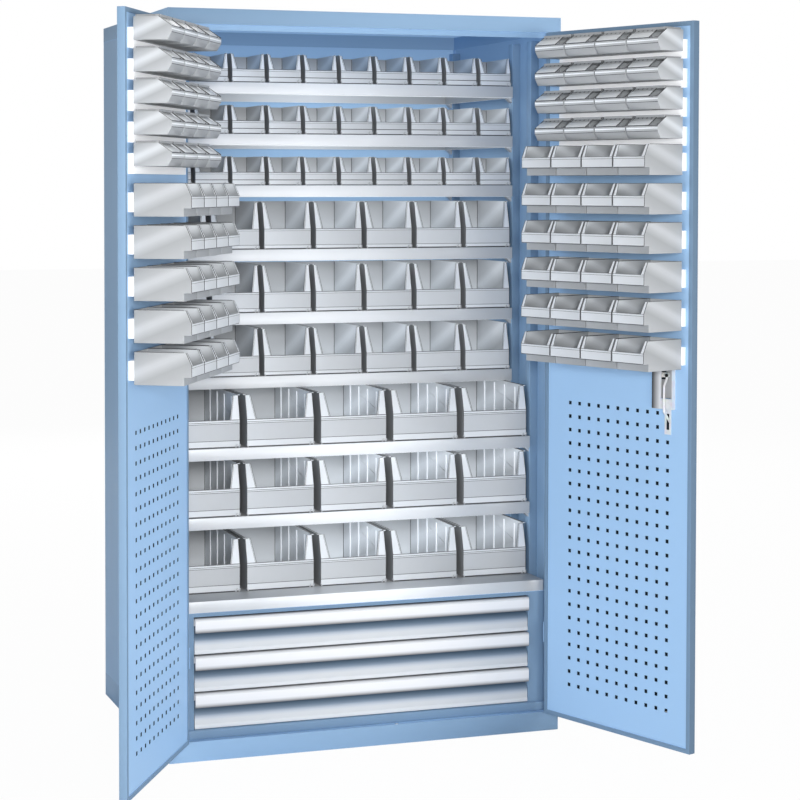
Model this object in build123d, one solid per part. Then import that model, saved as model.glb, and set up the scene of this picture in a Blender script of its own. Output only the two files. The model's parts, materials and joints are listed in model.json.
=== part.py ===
from build123d import *
import math
import os

# Cabinet body, in millimetres; the origin is on the floor under the middle of the body
width = 1100.0
depth = 760.0
height = 1950.0
sheet = 2.0
post_width = 25.0
post_depth = 30.0
post_lip = 16.0
plinth_height = 64.0
plinth_band = 52.0
foot_flange = 25.0
cap_skirt = 40.0
cap_stop = 14.0
floor_rise = 22.0
back_flange = 15.0

# Doors
door_thickness = 20.0
door_side_gap = 4.0
door_end_gap = 2.0
door_middle_gap = 3.0
door_border = 12.0
over = 1.0
door_stop_gap = 2.0
panel_gap = 0.5
left_open = 121.0
right_open = 110.0

# Square holes in the inner panels of the doors
hole_size = 10.0
hole_pitch_u = 103.5
hole_pitch_z = 108.9
hole_columns = 4
hole_rows = 8
hole_first_u = 94.0
hole_first_z = 150.0

# Hinges
hinge_length = 110.0
hinge_inset = 140.0
hinge_gap = 0.3
knuckle_r = 5.0
knuckle_clear = 0.4
pin_r = 2.5
pin_clear = 0.05
leaf = 1.5
leaf_depth = 22.0

# Shelves and what carries them
upright_width = 25.0
upright_depth = 30.0
upright_inset = 12.0
upright_back_gap = 20.5
shelf_side_gap = 5.0
shelf_edge = 32.0
shelf_lip = 12.0
shelf_back_gap = 2.0
shallow_inset = 250.5
deep_inset = 125.5
small_steps = (1365.0, 1225.0, 1085.0)
medium_steps = (910.0, 737.0, 563.0)
large_steps = (386.0, 202.0)
cover_edge = 30.0
clip_length = 18.0
clip_rise = 6.0
clip_drop = 14.0
clip_reach = 14.0

# Bins that stand on the shelves
bin_gap = 9.0
bin_wall = 2.0
bin_band_step = 3.0
bin_band = 14.0
bin_setback = 4.0
bin_lift = 0.3
small_bin = dict(count=10, deep=170.0, high=77.0, front=36.0, slope=12.0, cheek=None)
medium_bin = dict(count=7, deep=230.0, high=128.0, front=56.0, slope=20.0, cheek=(20.0, 9.0))
large_bin = dict(count=5, deep=350.0, high=138.0, front=75.0, slope=18.0, cheek=(26.0, 16.0))

# Bins that hang on the doors
rail_first_u = 61.0
rail_end = 22.5
rail_depth = 13.5
door_bins_in_row = 4
door_bin_gap = 3.0
door_bin_lift = 0.3
small_row_drop = 76.0
small_row_pitch = 73.0
small_rail_low = 18.0
small_rail_high = 30.0
large_low_row = 1031.0
large_row_pitch = 98.0
large_rail_low = 10.0
large_rail_high = 56.0
left_rows = (5, 5)
right_rows = (4, 6)
tray_deep = 93.0
tray_high = 54.0
tray_roof = 60.0
tray_nose = 15.0
tray_chamfer_high = 17.0
tray_chamfer_deep = 11.0
tray_plate = 0.74
tray_plate_up = 8.0
tray_tab = 8.0
tray_tab_high = 6.0
tub_deep = 140.0
tub_high = 77.0
tub_slope = 14.0
tub_front = 47.0
tub_step_high = 19.0
tub_step_deep = 19.0

# Lock and rods on the right door
lock_from_edge = 97.0
lock_z = 1012.0
cam_throw = 18.0
cam_width = 12.0
cam_thick = 2.5
cam_gap = 0.3
rod_r = 3.0
rod_t = 9.0
rod_tip_inset = 8.0
rod_over_cover = 1.5
rod_eye_r = 6.0
rod_eye_thick = 3.0
rod_eye_bite = 0.5
rod_straight = 3.0
rod_slant = 19.0
rod_clear_low = 5.0
rod_return = 32.0
rod_screw_r = 4.5
rod_screw_high = 3.5
guide_clear = 0.2
exit_clear = 1.0
strike_clear = 2.0
guide_inset = 80.0
guide_middle = 700.0
guide_high = 12.0
guide_half = 9.0
guide_wall = 2.0
cover_sides = (cam_throw + 9.0, cam_throw + 23.0)
cover_z = (925.0, 1039.0)
cover_depth = 12.0
cover_wall = 1.5
cover_slot = (4.0, cam_throw + 21.0)
cover_slot_z = (952.0, 1034.0)
window_inset = 4.0
tongue_width = 21.0
tongue_low = 860.0
entry_z = (872.0, 913.0)
entry_width = 10.0
spindle_r = 6.0
thread_r = 4.0
spindle_hole = 2.0
plate_r = 26.0
plate_thick = 5.0
hub_r = 15.0
hub_depth = 22.0
hub_gap = 0.3
nut_thick = 4.0
nut_r = 7.5
lever_length = 95.0
lever_width = 14.0
lever_thick = 9.0
lever_root = 2.0

# Drawers
drawer_count = 3
drawer_pitch = 98.0
drawer_gap = 4.0
drawer_side_gap = 2.0
drawer_inset = 32.5
drawer_first = 76.0
drawer_deep = 540.0
drawer_wall = 1.5
drawer_top_room = 34.0
drawer_floor_up = 8.0
front_band = 10.0
front_step = 1.5
front_fold = 36.0
front_slant = 0.6
frame_gap = 2.0
side_box = 47.5
frame_head = 10.0
cover_rise = 30.0
slide_gap = 16.0
slide_wall = 1.5
slide_clear = 0.7
slide_high = 40.0
slide_lip = 9.0
slide_up = 40.0
slide_length = 530.0
slide_back = 4.0
handle_high = 37.0
handle_reach = 9.0
handle_wall = 2.5
handle_nose_r = 8.0
handle_hang = 22.0
handle_gap = 1.0
recess = 16.0

# Places worked out from the sizes above
half = width / 2
front = -depth / 2
back = depth / 2
opening_half = half - post_width
door_edge = opening_half - door_side_gap
door_width = door_edge - door_middle_gap / 2
door_low = plinth_band + door_end_gap
door_high = height - cap_skirt - door_end_gap
stop_y = front + door_thickness + door_stop_gap
floor_top = plinth_band + floor_rise
pin_x = opening_half - door_side_gap / 2
pin_y = front - knuckle_r - knuckle_clear
panel_t = door_thickness - sheet
shelf_back = back - sheet - shelf_back_gap
rail_t = panel_t + rail_depth
cam_t = panel_t + cam_gap
upright_inner = half - upright_width
upright_back = back - upright_back_gap
shelf_half = upright_inner - shelf_side_gap
shallow_front = front + shallow_inset
deep_front = front + deep_inset
drawer_face = front + drawer_inset
frame_half = upright_inner - frame_gap
frame_inner = frame_half - side_box
frame_top = drawer_first + drawer_count * drawer_pitch + frame_head
cover_top = frame_top + cover_rise
small_levels = [cover_top + step for step in small_steps]
medium_levels = [cover_top + step for step in medium_steps]
large_levels = [cover_top + step for step in large_steps]
drawer_half = frame_inner - slide_gap
drawer_front_half = frame_inner - drawer_side_gap
drawer_front_high = drawer_pitch - drawer_gap
drawer_wall_high = drawer_pitch - drawer_top_room
rail_length = door_width - rail_first_u - rail_end
small_top_row = door_high - small_row_drop
lock_u = door_width - lock_from_edge
low_rod_u = lock_u + cam_throw
high_rod_u = lock_u - cam_throw
eye_t = cam_t + cam_thick + cam_gap
rod_out_t = panel_t + cover_depth + rod_over_cover + rod_r


def box(x0, x1, y0, y1, z0, z1):
    centre = Pos((x0 + x1) / 2, (y0 + y1) / 2, (z0 + z1) / 2)
    return centre * Box(abs(x1 - x0), abs(y1 - y0), abs(z1 - z0))


def plan_prism(points, z0, z1):
    """A plan outline of (x, y) points, drawn up from z0 to z1."""
    outline = make_face(Polyline(*[(x, y, z0) for x, y in points], close=True))
    return extrude(outline, z1 - z0, dir=(0, 0, 1))


def side_prism(points, x0, x1):
    """A side outline of (y, z) points, drawn across from x0 to x1."""
    outline = make_face(Polyline(*[(x0, y, z) for y, z in points], close=True))
    return extrude(outline, x1 - x0, dir=(1, 0, 0))


def front_prism(points, y0, y1):
    """A front outline of (x, z) points, drawn back from y0 to y1."""
    outline = make_face(Polyline(*[(x, y0, z) for x, z in points], close=True))
    return extrude(outline, y1 - y0, dir=(0, 1, 0))


def upright_rod(x, y, z0, z1, r):
    return Pos(x, y, (z0 + z1) / 2) * Cylinder(r, z1 - z0)


def save(name, solids):
    pieces = [s for shape in solids for s in shape.solids()]
    export_step(Compound(pieces), f"parts/{name}.step")
    print(name, len(pieces))


# Cabinet body


def plinth():
    outer = box(-half, half, front, back, 0, plinth_height)
    top = plinth_height + over
    hollow = box(-half + sheet, half - sheet, front + sheet, back - sheet, -over, top)
    notch = box(-opening_half, opening_half, front - over, front + 2 * sheet, plinth_band, top)
    inner_foot = [side + foot_flange for side in (-half, front)]
    foot = box(-half, half, front, back, 0, sheet)
    foot -= box(inner_foot[0], -inner_foot[0], inner_foot[1], -inner_foot[1], -over, sheet + over)
    ledge = box(-half, half, front + post_depth, back, plinth_height - sheet, plinth_height)
    ledge -= box(inner_foot[0], -inner_foot[0], front, -inner_foot[1], 0, height)
    under = plinth_band - sheet
    band_return = box(-opening_half, opening_half, front, front + post_depth, under, plinth_band)
    band_return -= rod_slot(low_rod_u, 0, height, strike_clear)
    return outer - hollow - notch + foot + ledge + band_return


def floor_panel():
    side = half - 2 * sheet
    behind_post = front + post_depth
    top = box(-side, side, behind_post, back - sheet, floor_top - sheet, floor_top)
    tongue = box(-opening_half, opening_half, stop_y, behind_post, floor_top - sheet, floor_top)
    stop = box(-opening_half, opening_half, stop_y, stop_y + sheet, plinth_band, floor_top)
    rim = box(-side, side, behind_post, back - sheet, plinth_height, floor_top)
    rim -= box(-side + sheet, side - sheet, front, back - 2 * sheet, 0, height)
    return top + tongue + stop + rim


def side_panel(side):
    lip_y = front + post_depth
    outline = [
        (half, front),
        (half, back),
        (half - sheet, back),
        (half - sheet, front + sheet),
        (opening_half + sheet, front + sheet),
        (opening_half + sheet, lip_y - sheet),
        (opening_half + post_lip, lip_y - sheet),
        (opening_half + post_lip, lip_y),
        (opening_half, lip_y),
        (opening_half, front),
    ]
    return plan_prism([(side * x, y) for x, y in outline], plinth_height, height - cap_skirt)


def back_panel():
    edge = half - sheet
    outline = [(-edge, back), (-edge, back - back_flange), (-edge + sheet, back - back_flange)]
    outline += [(-edge + sheet, back - sheet), (edge - sheet, back - sheet)]
    outline += [(edge - sheet, back - back_flange), (edge, back - back_flange), (edge, back)]
    return plan_prism(outline, floor_top, height - cap_skirt)


def top_cap():
    low = height - cap_skirt
    outer = box(-half, half, front, back, low, height)
    side = half - sheet
    hollow = box(-side, side, front + sheet, back - sheet, low - over, height - sheet)
    ledge = box(-half, half, front, stop_y + sheet, low, low + sheet)
    stop = box(-opening_half, opening_half, stop_y, stop_y + sheet, low - cap_stop, low + sheet)
    strike = rod_slot(high_rod_u, low - over, low + sheet + over, strike_clear)
    return outer - hollow + ledge + stop - strike


def upright(side, y):
    """A folded channel that stands against the side panel, open towards it."""
    outer = half - sheet
    inner = upright_inner
    y1 = y + upright_depth
    outline = [(outer, y), (inner, y), (inner, y1), (outer, y1), (outer, y1 - sheet)]
    outline += [(inner + sheet, y1 - sheet), (inner + sheet, y + sheet), (outer, y + sheet)]
    return plan_prism([(side * x, v) for x, v in outline], floor_top, height - cap_skirt - cap_stop)


def upright_places():
    middle = shallow_front + upright_inset
    first = deep_front + upright_inset
    return [first, middle, upright_back - upright_depth]


def clip(side, y, z):
    """A folded hook on an upright, with a ledge that the shelf lies on."""
    wall = upright_inner
    tip = wall - clip_reach
    points = [(wall, z + clip_rise), (wall, z - clip_drop), (tip, z - sheet), (tip, z)]
    points += [(wall - sheet, z), (wall - sheet, z + clip_rise)]
    start = y + (upright_depth - clip_length) / 2
    return front_prism([(side * x, v) for x, v in points], start, start + clip_length)


def shelf(top, front_y, edge):
    """A folded shelf tray: its edges are turned down and the front edge is turned in again."""
    outer = box(-shelf_half, shelf_half, front_y, shelf_back, top - edge, top)
    side = shelf_half - sheet
    hollow = box(-side, side, front_y + sheet, shelf_back - sheet, 0, top - sheet)
    lip = box(-shelf_half, shelf_half, front_y, front_y + shelf_lip, top - edge, top - edge + sheet)
    return outer - hollow + lip


def shelf_clips():
    places = upright_places()
    clips = []
    shallow, deep = places[1:], places[::2]
    for levels, rows in ((small_levels + medium_levels, shallow), (large_levels, deep)):
        clips += [clip(side, y, z - shelf_edge) for side in (-1, 1) for y in rows for z in levels]
    return clips


# Bins on the shelves, made with the back on y = 0 and the floor on z = 0, open to the front and the top


def shelf_bin(kind):
    wide = 2 * shelf_half / kind["count"] - bin_gap
    deep, high, low = kind["deep"], kind["high"], kind["front"]
    edge = deep - kind["slope"]
    inner = deep - bin_band_step - bin_wall
    wall = bin_wall
    open_front = kind["cheek"] is None
    outline = [(0, 0), (0, high), (-edge, high), (-deep, low), (-deep, bin_band)]
    outline += [(bin_band_step - deep, bin_band), (bin_band_step - deep, 0)]
    hollow = [(-wall, wall), (-wall, high + over)]
    if open_front:
        hollow += [(-deep - over, high + over), (-deep - over, low)]
    else:
        hollow += [(2 * wall - edge, high + over), (2 * wall - edge, high)]
    hollow += [(-inner, low), (-inner, wall)]
    shape = side_prism(outline, 0, wide) - side_prism(hollow, wall, wide - wall)
    if open_front:
        return shape
    foot, head = kind["cheek"]
    mouth = [(foot, low), (wide - foot, low), (wide - head, high + over), (head, high + over)]
    return shape - front_prism(mouth, -deep - over, 3 * wall - edge)


def shelf_row(kind, shape, level, front_y):
    """One row of bins on a shelf, from left to right."""
    pitch = 2 * shelf_half / kind["count"]
    y = front_y + bin_setback + kind["deep"]
    first = -shelf_half + bin_gap / 2
    return [Pos(first + i * pitch, y, level + bin_lift) * shape for i in range(kind["count"])]


# Bins on the doors, made like those on the shelves


def door_bin_width():
    return rail_length / door_bins_in_row - door_bin_gap


def door_tray():
    """The small bin: an open top and a sloped mouth, most of it behind a label plate with a grip edge."""
    wide = door_bin_width()
    wall = bin_wall
    nose_top = tray_chamfer_high + tray_nose
    outline = [(0, 0), (0, tray_high), (-tray_roof, tray_high), (-tray_deep, nose_top)]
    foot_y = tray_chamfer_deep - tray_deep
    outline += [(-tray_deep, tray_chamfer_high), (foot_y, 0)]
    open_y, open_z = -tray_deep - over, tray_high + over
    hollow = [(-wall, wall), (-wall, open_z), (open_y, open_z), (open_y, nose_top)]
    hollow += [(wall - tray_deep, nose_top), (wall - tray_deep, tray_chamfer_high), (wall + foot_y, wall)]
    shape = side_prism(outline, 0, wide) - side_prism(hollow, wall, wide - wall)
    run = tray_deep - tray_roof - tray_plate_up
    drop = run * (tray_high - nose_top) / (tray_deep - tray_roof)
    foot = -tray_roof - run
    back_edge = tray_tab - tray_roof
    plate = [(back_edge, tray_high - wall), (back_edge, tray_high + tray_tab_high)]
    plate += [(-tray_roof, tray_high + tray_tab_high), (foot, tray_high - drop + wall / 2)]
    plate += [(foot, tray_high - drop - wall)]
    return shape + side_prism(plate, wall / 2, wide * tray_plate)


def door_tub():
    """The larger bin: an upright front over a set-back lower body."""
    wide = door_bin_width()
    wall = bin_wall
    body = tub_deep - tub_step_deep
    outline = [(0, 0), (0, tub_high), (tub_slope - tub_deep, tub_high), (-tub_deep, tub_front)]
    outline += [(-tub_deep, tub_step_high), (-body, tub_step_high), (-body, 0)]
    open_y, open_z = -tub_deep - over, tub_high + over
    hollow = [(-wall, wall), (-wall, open_z), (open_y, open_z), (open_y, tub_front)]
    hollow += [(wall - tub_deep, tub_front), (wall - tub_deep, tub_step_high + wall)]
    hollow += [(wall - body, tub_step_high + wall), (wall - body, wall)]
    return side_prism(outline, 0, wide) - side_prism(hollow, wall, wide - wall)


# Doors, made closed: u runs from the hinge edge to the free edge and t from the outer face inwards


def door_x(side, u):
    return side * (door_edge - u)


def rod_x(u):
    return door_x(1, u)


def door_box(side, u, t, z):
    return box(door_x(side, u[0]), door_x(side, u[1]), front + t[0], front + t[1], z[0], z[1])


def swing(side, shapes):
    """Turns closed door pieces about the hinge pins to the opening shown."""
    angle = right_open if side > 0 else -left_open
    axis = Axis((side * pin_x, pin_y, 0), (0, 0, 1))
    return [piece.rotate(axis, angle) for shape in shapes for piece in shape.solids()]


def along_t(side, u, z, t0, t1, r):
    """A round piece square to the door, from t0 to t1."""
    middle = Pos(door_x(side, u), front + (t0 + t1) / 2, z)
    return middle * Rot(90, 0, 0) * Cylinder(r, t1 - t0)


def rod_slot(u, z0, z1, clear):
    """The square hole that a lock rod passes through."""
    r = rod_r + clear
    return door_box(1, (u - r, u + r), (rod_t - r, rod_t + r), (z0, z1))


def door_skin(side):
    outer = door_box(side, (0, door_width), (0, door_thickness), (door_low, door_high))
    inside = (door_low + sheet, door_high - sheet)
    outer -= door_box(side, (sheet, door_width - sheet), (sheet, panel_t), inside)
    window_u = (door_border, door_width - door_border)
    window_z = (door_low + door_border, door_high - door_border)
    outer -= door_box(side, window_u, (panel_t - over, door_thickness + over), window_z)
    if side > 0:
        outer -= rod_slot(low_rod_u, door_low - over, door_low + sheet + over, exit_clear)
        outer -= rod_slot(high_rod_u, door_high - sheet - over, door_high + over, exit_clear)
        outer -= along_t(side, lock_u, lock_z, -over, sheet + over, spindle_r + spindle_hole)
    return outer


def hole_places():
    places = [(i, j) for i in range(hole_columns) for j in range(hole_rows)]
    return [(hole_first_u + i * hole_pitch_u, hole_first_z + j * hole_pitch_z) for i, j in places]


def lock_span(sides):
    """The span across the door between two distances from the lock, hinge side first."""
    return lock_u + sides[0], lock_u + sides[1]


def rod_span(wide):
    return low_rod_u - wide / 2, low_rod_u + wide / 2


def inner_panel(side):
    edge = sheet + panel_gap
    sides = (edge, door_width - edge)
    panel = door_box(side, sides, (panel_t - sheet, panel_t), (door_low + edge, door_high - edge))
    through = (panel_t - sheet - over, panel_t + over)
    r = hole_size / 2
    cuts = [door_box(side, (u - r, u + r), through, (z - r, z + r)) for u, z in hole_places()]
    if side > 0:
        window = lock_span((window_inset - cover_sides[0], cover_sides[1] - window_inset))
        cuts.append(door_box(side, window, through, (cover_slot_z[0], cover_z[1] - window_inset)))
        cuts.append(door_box(side, rod_span(entry_width), through, entry_z))
    return panel - cuts


def bin_rail(side, low, high):
    """A folded rail with closed ends, on the inner panel, that a row of bins hooks over."""
    u = (rail_first_u, rail_first_u + rail_length)
    inside = (u[0] + sheet, u[1] - sheet)
    channel = door_box(side, u, (panel_t, rail_t), (low, high))
    return channel - door_box(side, inside, (panel_t - over, rail_t - sheet), (low + sheet, high - sheet))


def tray_rows(side):
    rows = left_rows[0] if side < 0 else right_rows[0]
    return [small_top_row - i * small_row_pitch for i in range(rows)]


def tub_rows(side):
    rows = left_rows[1] if side < 0 else right_rows[1]
    return [large_low_row + i * large_row_pitch for i in range(rows)]


def door_row(side, shape, z):
    """One row of bins on a door, from the hinge edge to the free edge."""
    pitch = rail_length / door_bins_in_row
    wide = door_bin_width()
    bins = []
    for i in range(door_bins_in_row):
        u = rail_first_u + i * pitch + door_bin_gap / 2
        x = max(door_x(side, u), door_x(side, u + wide))
        bins.append(Pos(x, front + rail_t + door_bin_lift, z) * Rot(0, 0, 180) * shape)
    return bins


# Hinges


def hinge_bottoms():
    return [door_low + hinge_inset, door_high - hinge_inset - hinge_length]


def knuckle(side, z0, z1, outward):
    """A hinge leaf curled round the pin, in the gap beside the door; outward is 1 on the post."""
    x = side * pin_x
    face = side * (pin_x + outward * door_side_gap / 2)
    inner = side * (pin_x + outward * (door_side_gap / 2 - leaf))
    eye = upright_rod(x, pin_y, z0, z1, knuckle_r)
    plate = box(inner, face, pin_y, front + leaf_depth, z0, z1)
    return eye + plate - upright_rod(x, pin_y, z0 - over, z1 + over, pin_r + pin_clear)


def hinges(side):
    """Post knuckles, door knuckles and pins of one door."""
    posts, doors, pins = [], [], []
    for z in hinge_bottoms():
        middle = z + hinge_length / 2
        top = z + hinge_length
        posts.append(knuckle(side, z, middle - hinge_gap / 2, 1))
        doors.append(knuckle(side, middle + hinge_gap / 2, top, -1))
        pins.append(upright_rod(side * pin_x, pin_y, z, top + over, pin_r))
    return posts, doors, pins


# Lock


def lock_cover():
    """The pressed housing over the cam, with a flat tongue over the place where the rod enters."""
    wall = cover_wall
    face = panel_t + cover_depth
    outer = door_box(1, lock_span((-cover_sides[0], cover_sides[1])), (panel_t, face), cover_z)
    inside = lock_span((wall - cover_sides[0], cover_sides[1] - wall))
    outer -= door_box(1, inside, (0, face - wall), (cover_z[0] + wall, cover_z[1] - wall))
    outer -= door_box(1, lock_span(cover_slot), (panel_t + over, face + over), cover_slot_z)
    tongue = door_box(1, rod_span(tongue_width), (panel_t, panel_t + sheet), (tongue_low, cover_z[0]))
    return outer + tongue - door_box(1, rod_span(entry_width), (0, panel_t + sheet + over), entry_z)


def lower_rod():
    """The rod that hangs from the cam, comes out over the cover and enters the door again below it."""
    first = eye_t + rod_r
    top = lock_z - rod_eye_r + rod_eye_bite
    bend = top - rod_straight
    low = cover_z[0] - rod_clear_low
    route = [(first, top), (first, bend), (rod_out_t, bend - rod_slant), (rod_out_t, low)]
    route += [(rod_t, low - rod_return), (rod_t, door_low + rod_tip_inset)]
    path = Polyline(*[(rod_x(low_rod_u), front + t, z) for t, z in route])
    start = Plane(origin=path @ 0, z_dir=path % 0)
    rod = sweep(start * Circle(rod_r), path=path, transition=Transition.RIGHT)
    return rod + along_t(1, low_rod_u, lock_z, eye_t, eye_t + rod_eye_thick, rod_eye_r)


def rod_screw():
    face = eye_t + rod_eye_thick
    return along_t(1, low_rod_u, lock_z, face, face + rod_screw_high, rod_screw_r)


def upper_rod():
    low = lock_z - rod_eye_r
    rod = upright_rod(rod_x(high_rod_u), front + rod_t, low, door_high - rod_tip_inset, rod_r)
    return rod + along_t(1, high_rod_u, lock_z, rod_t, cam_t - cam_gap, rod_r)


def rod_guides():
    """Blocks on the inside of the skin that the rods run through."""
    places = [(high_rod_u, door_high - guide_inset), (low_rod_u, guide_middle)]
    places.append((low_rod_u, door_low + guide_inset))
    guides = []
    for u, z in places:
        across = (u - guide_half, u + guide_half)
        block = door_box(1, across, (sheet, rod_t + rod_r + guide_wall), (z, z + guide_high))
        guides.append(block - rod_slot(u, z - over, z + guide_high + over, guide_clear))
    return guides


def handle_plate():
    plate = along_t(1, lock_u, lock_z, -plate_thick, 0, plate_r)
    return plate - along_t(1, lock_u, lock_z, -plate_thick - over, over, spindle_r + pin_clear)


def turn_handle():
    """A round hub with a lever that points down when the lock is open."""
    back_face = -plate_thick - hub_gap
    face = back_face - hub_depth
    x = rod_x(lock_u)
    root, r = hub_r - lever_root, lever_width / 2
    tip = lock_z - lever_length
    outline = [(x - root, lock_z), (x - r, tip), (x + r, tip), (x + root, lock_z)]
    lever = front_prism(outline, front + face, front + face + lever_thick)
    end = along_t(1, lock_u, tip, face, face + lever_thick, r)
    return along_t(1, lock_u, lock_z, face, back_face, hub_r) + lever + end


def handle_spindle():
    shaft = along_t(1, lock_u, lock_z, -plate_thick - hub_gap, cam_t, spindle_r)
    return shaft + along_t(1, lock_u, lock_z, cam_t - over, cam_t + cam_thick + nut_thick + over, thread_r)


def on_spindle(shape, t):
    """A flat piece on the thread of the spindle, with its hole, standing on the level t."""
    placed = Pos(rod_x(lock_u), front + t, lock_z) * Rot(-90, 0, 0) * shape
    return placed - along_t(1, lock_u, lock_z, 0, cam_t + cam_thick + 2 * nut_thick, thread_r)


def lock_cam():
    return on_spindle(extrude(SlotCenterToCenter(2 * cam_throw, cam_width), cam_thick), cam_t)


def cam_nut():
    return on_spindle(extrude(RegularPolygon(nut_r, 6), nut_thick), cam_t + cam_thick)


# Drawers and their frame


def drawer_frame():
    """Two folded side boxes and the top sheet over the drawers, with its front edge turned down."""
    y0 = drawer_face
    y1 = upright_back
    web = frame_inner + sheet
    outline = [(frame_inner, y0), (frame_half, y0), (frame_half, y0 + sheet), (web, y0 + sheet)]
    outline += [(web, y1 - sheet), (frame_half, y1 - sheet), (frame_half, y1), (frame_inner, y1)]
    frame = box(-frame_half, frame_half, y0, y1, frame_top - sheet, frame_top)
    frame += box(-frame_half, frame_half, y0, y0 + sheet, frame_top - frame_head, frame_top)
    for side in (-1, 1):
        frame += plan_prism([(side * x, y) for x, y in outline], floor_top, frame_top - sheet)
    return frame


def channel(side, web, lips, z, high, y0, y1):
    """A slide member: a channel with its web at x = web and its lips reaching to x = lips."""
    h = high / 2
    wall = slide_wall
    points = [(web, z - h), (lips, z - h), (lips, z - h + wall), (web - wall, z - h + wall)]
    points += [(web - wall, z + h - wall), (lips, z + h - wall), (lips, z + h), (web, z + h)]
    return front_prism([(side * x, v) for x, v in points], y0, y1)


def slide_parts(z):
    """Outer, middle and inner slide members of one drawer, left and right."""
    y0 = drawer_face + recess + sheet + slide_back
    y1 = y0 + slide_length
    fixed, middle, inner = [], [], []
    step = slide_wall + slide_clear
    for side in (-1, 1):
        fixed.append(channel(side, frame_inner, frame_inner - slide_lip, z, slide_high, y0, y1))
        web = frame_inner - step
        mid_high = slide_high - 2 * step
        middle.append(channel(side, web, web - slide_lip, z, mid_high, y0, y1))
        h = mid_high / 2 - step
        outline = [(drawer_half, z - h), (web - step, z - h), (web - step, z + h), (drawer_half, z + h)]
        inner.append(front_prism([(side * x, v) for x, v in outline], y0, y1))
    return fixed, middle, inner


def drawer_box(z):
    y0 = drawer_face + recess + sheet
    y1 = y0 + drawer_deep
    low = z + drawer_floor_up
    top = low + drawer_wall_high
    wall = drawer_wall
    inner = drawer_half - wall
    outer = box(-drawer_half, drawer_half, y0, y1, low, top)
    return outer - box(-inner, inner, y0 + wall, y1 - wall, low + wall, top + over)


def drawer_front(z):
    """A folded front with a lower band, a flat face and a recess behind the handle."""
    top = z + drawer_front_high
    face = drawer_face + front_step
    deep = drawer_face + recess
    low = z + front_fold
    high = top - handle_high - handle_gap
    points = [(drawer_face, z), (drawer_face, z + front_band), (face, z + front_band), (face, low)]
    points += [(deep, high), (deep, top), (deep + sheet, top), (deep + sheet, high - front_slant)]
    points += [(face + sheet, low - front_slant), (face + sheet, z)]
    return side_prism(points, -drawer_front_half, drawer_front_half)


def drawer_handle(z):
    """A hooked grip profile with a round nose, open below for the fingers."""
    x = -drawer_front_half
    nose = drawer_face - handle_reach
    root = drawer_face + recess
    top = z + drawer_front_high
    low, hang = top - handle_high, top - handle_hang
    wall = handle_wall
    r = handle_nose_r
    turn_y, turn_z = nose + r, top - r

    def nose_arc(radius):
        reach = radius * math.sqrt(0.5)
        return ThreePointArc(
            (x, turn_y, turn_z + radius),
            (x, turn_y - reach, turn_z + reach),
            (x, turn_y - radius, turn_z),
        )

    foot = Polyline((x, nose, turn_z), (x, nose, low), (x, nose + wall, low), (x, nose + wall, turn_z))
    under = top - wall
    hook = [(turn_y, under), (root - sheet, under), (root - sheet, hang)]
    hook += [(root, hang), (root, top), (turn_y, top)]
    outline = nose_arc(r) + foot + nose_arc(r - wall) + Polyline(*[(x, y, h) for y, h in hook])
    return extrude(make_face(outline), 2 * drawer_front_half, dir=(1, 0, 0))


def build_body():
    save("plinth", [plinth()])
    save("floor_panel", [floor_panel()])
    save("left_side_panel", [side_panel(-1)])
    save("right_side_panel", [side_panel(1)])
    save("back_panel", [back_panel()])
    save("top_cap", [top_cap()])
    save("shelf_uprights", [upright(side, y) for side in (-1, 1) for y in upright_places()])
    save("shelf_clips", shelf_clips())
    save("shallow_shelves", [shelf(z, shallow_front, shelf_edge) for z in small_levels + medium_levels])
    save("deep_shelves", [shelf(z, deep_front, shelf_edge) for z in large_levels])
    save("drawer_cover_shelf", [shelf(cover_top, drawer_face, cover_edge)])
    save("drawer_frame", [drawer_frame()])


def build_shelf_bins():
    """The rows of bins; one bin of each kind is loose and has a node of its own."""
    rows = (
        ("small", small_bin, [(z, shallow_front) for z in small_levels], 7),
        ("medium", medium_bin, [(z, shallow_front) for z in medium_levels], 4),
        ("large", large_bin, [(z, deep_front) for z in large_levels + [cover_top]], 2),
    )
    for name, kind, levels, loose in rows:
        shape = shelf_bin(kind)
        bins = [piece for level, y in levels for piece in shelf_row(kind, shape, level, y)]
        save(f"loose_{name}_shelf_bin", [bins.pop(loose)])
        save(f"{name}_shelf_bins", bins)


def build_doors():
    tray, tub = door_tray(), door_tub()
    all_posts, all_pins = [], []
    for side, name in ((-1, "left"), (1, "right")):
        posts, doors, pins = hinges(side)
        all_posts += posts
        all_pins += pins
        save(f"{name}_door_knuckles", swing(side, doors))
        save(f"{name}_door_skin", swing(side, [door_skin(side)]))
        save(f"{name}_door_inner_panel", swing(side, [inner_panel(side)]))
        rails = [bin_rail(side, z - small_rail_low, z + small_rail_high) for z in tray_rows(side)]
        rails += [bin_rail(side, z + large_rail_low, z + large_rail_high) for z in tub_rows(side)]
        save(f"{name}_door_bin_rails", swing(side, rails))
        trays = [piece for z in tray_rows(side) for piece in door_row(side, tray, z)]
        tubs = [piece for z in tub_rows(side) for piece in door_row(side, tub, z)]
        if side > 0:
            save("loose_small_door_bin", swing(side, [trays.pop(1)]))
            save("loose_large_door_bin", swing(side, [tubs.pop(2)]))
        save(f"{name}_small_door_bins", swing(side, trays))
        save(f"{name}_large_door_bins", swing(side, tubs))
    save("frame_knuckles", all_posts)
    save("hinge_pins", all_pins)


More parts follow.
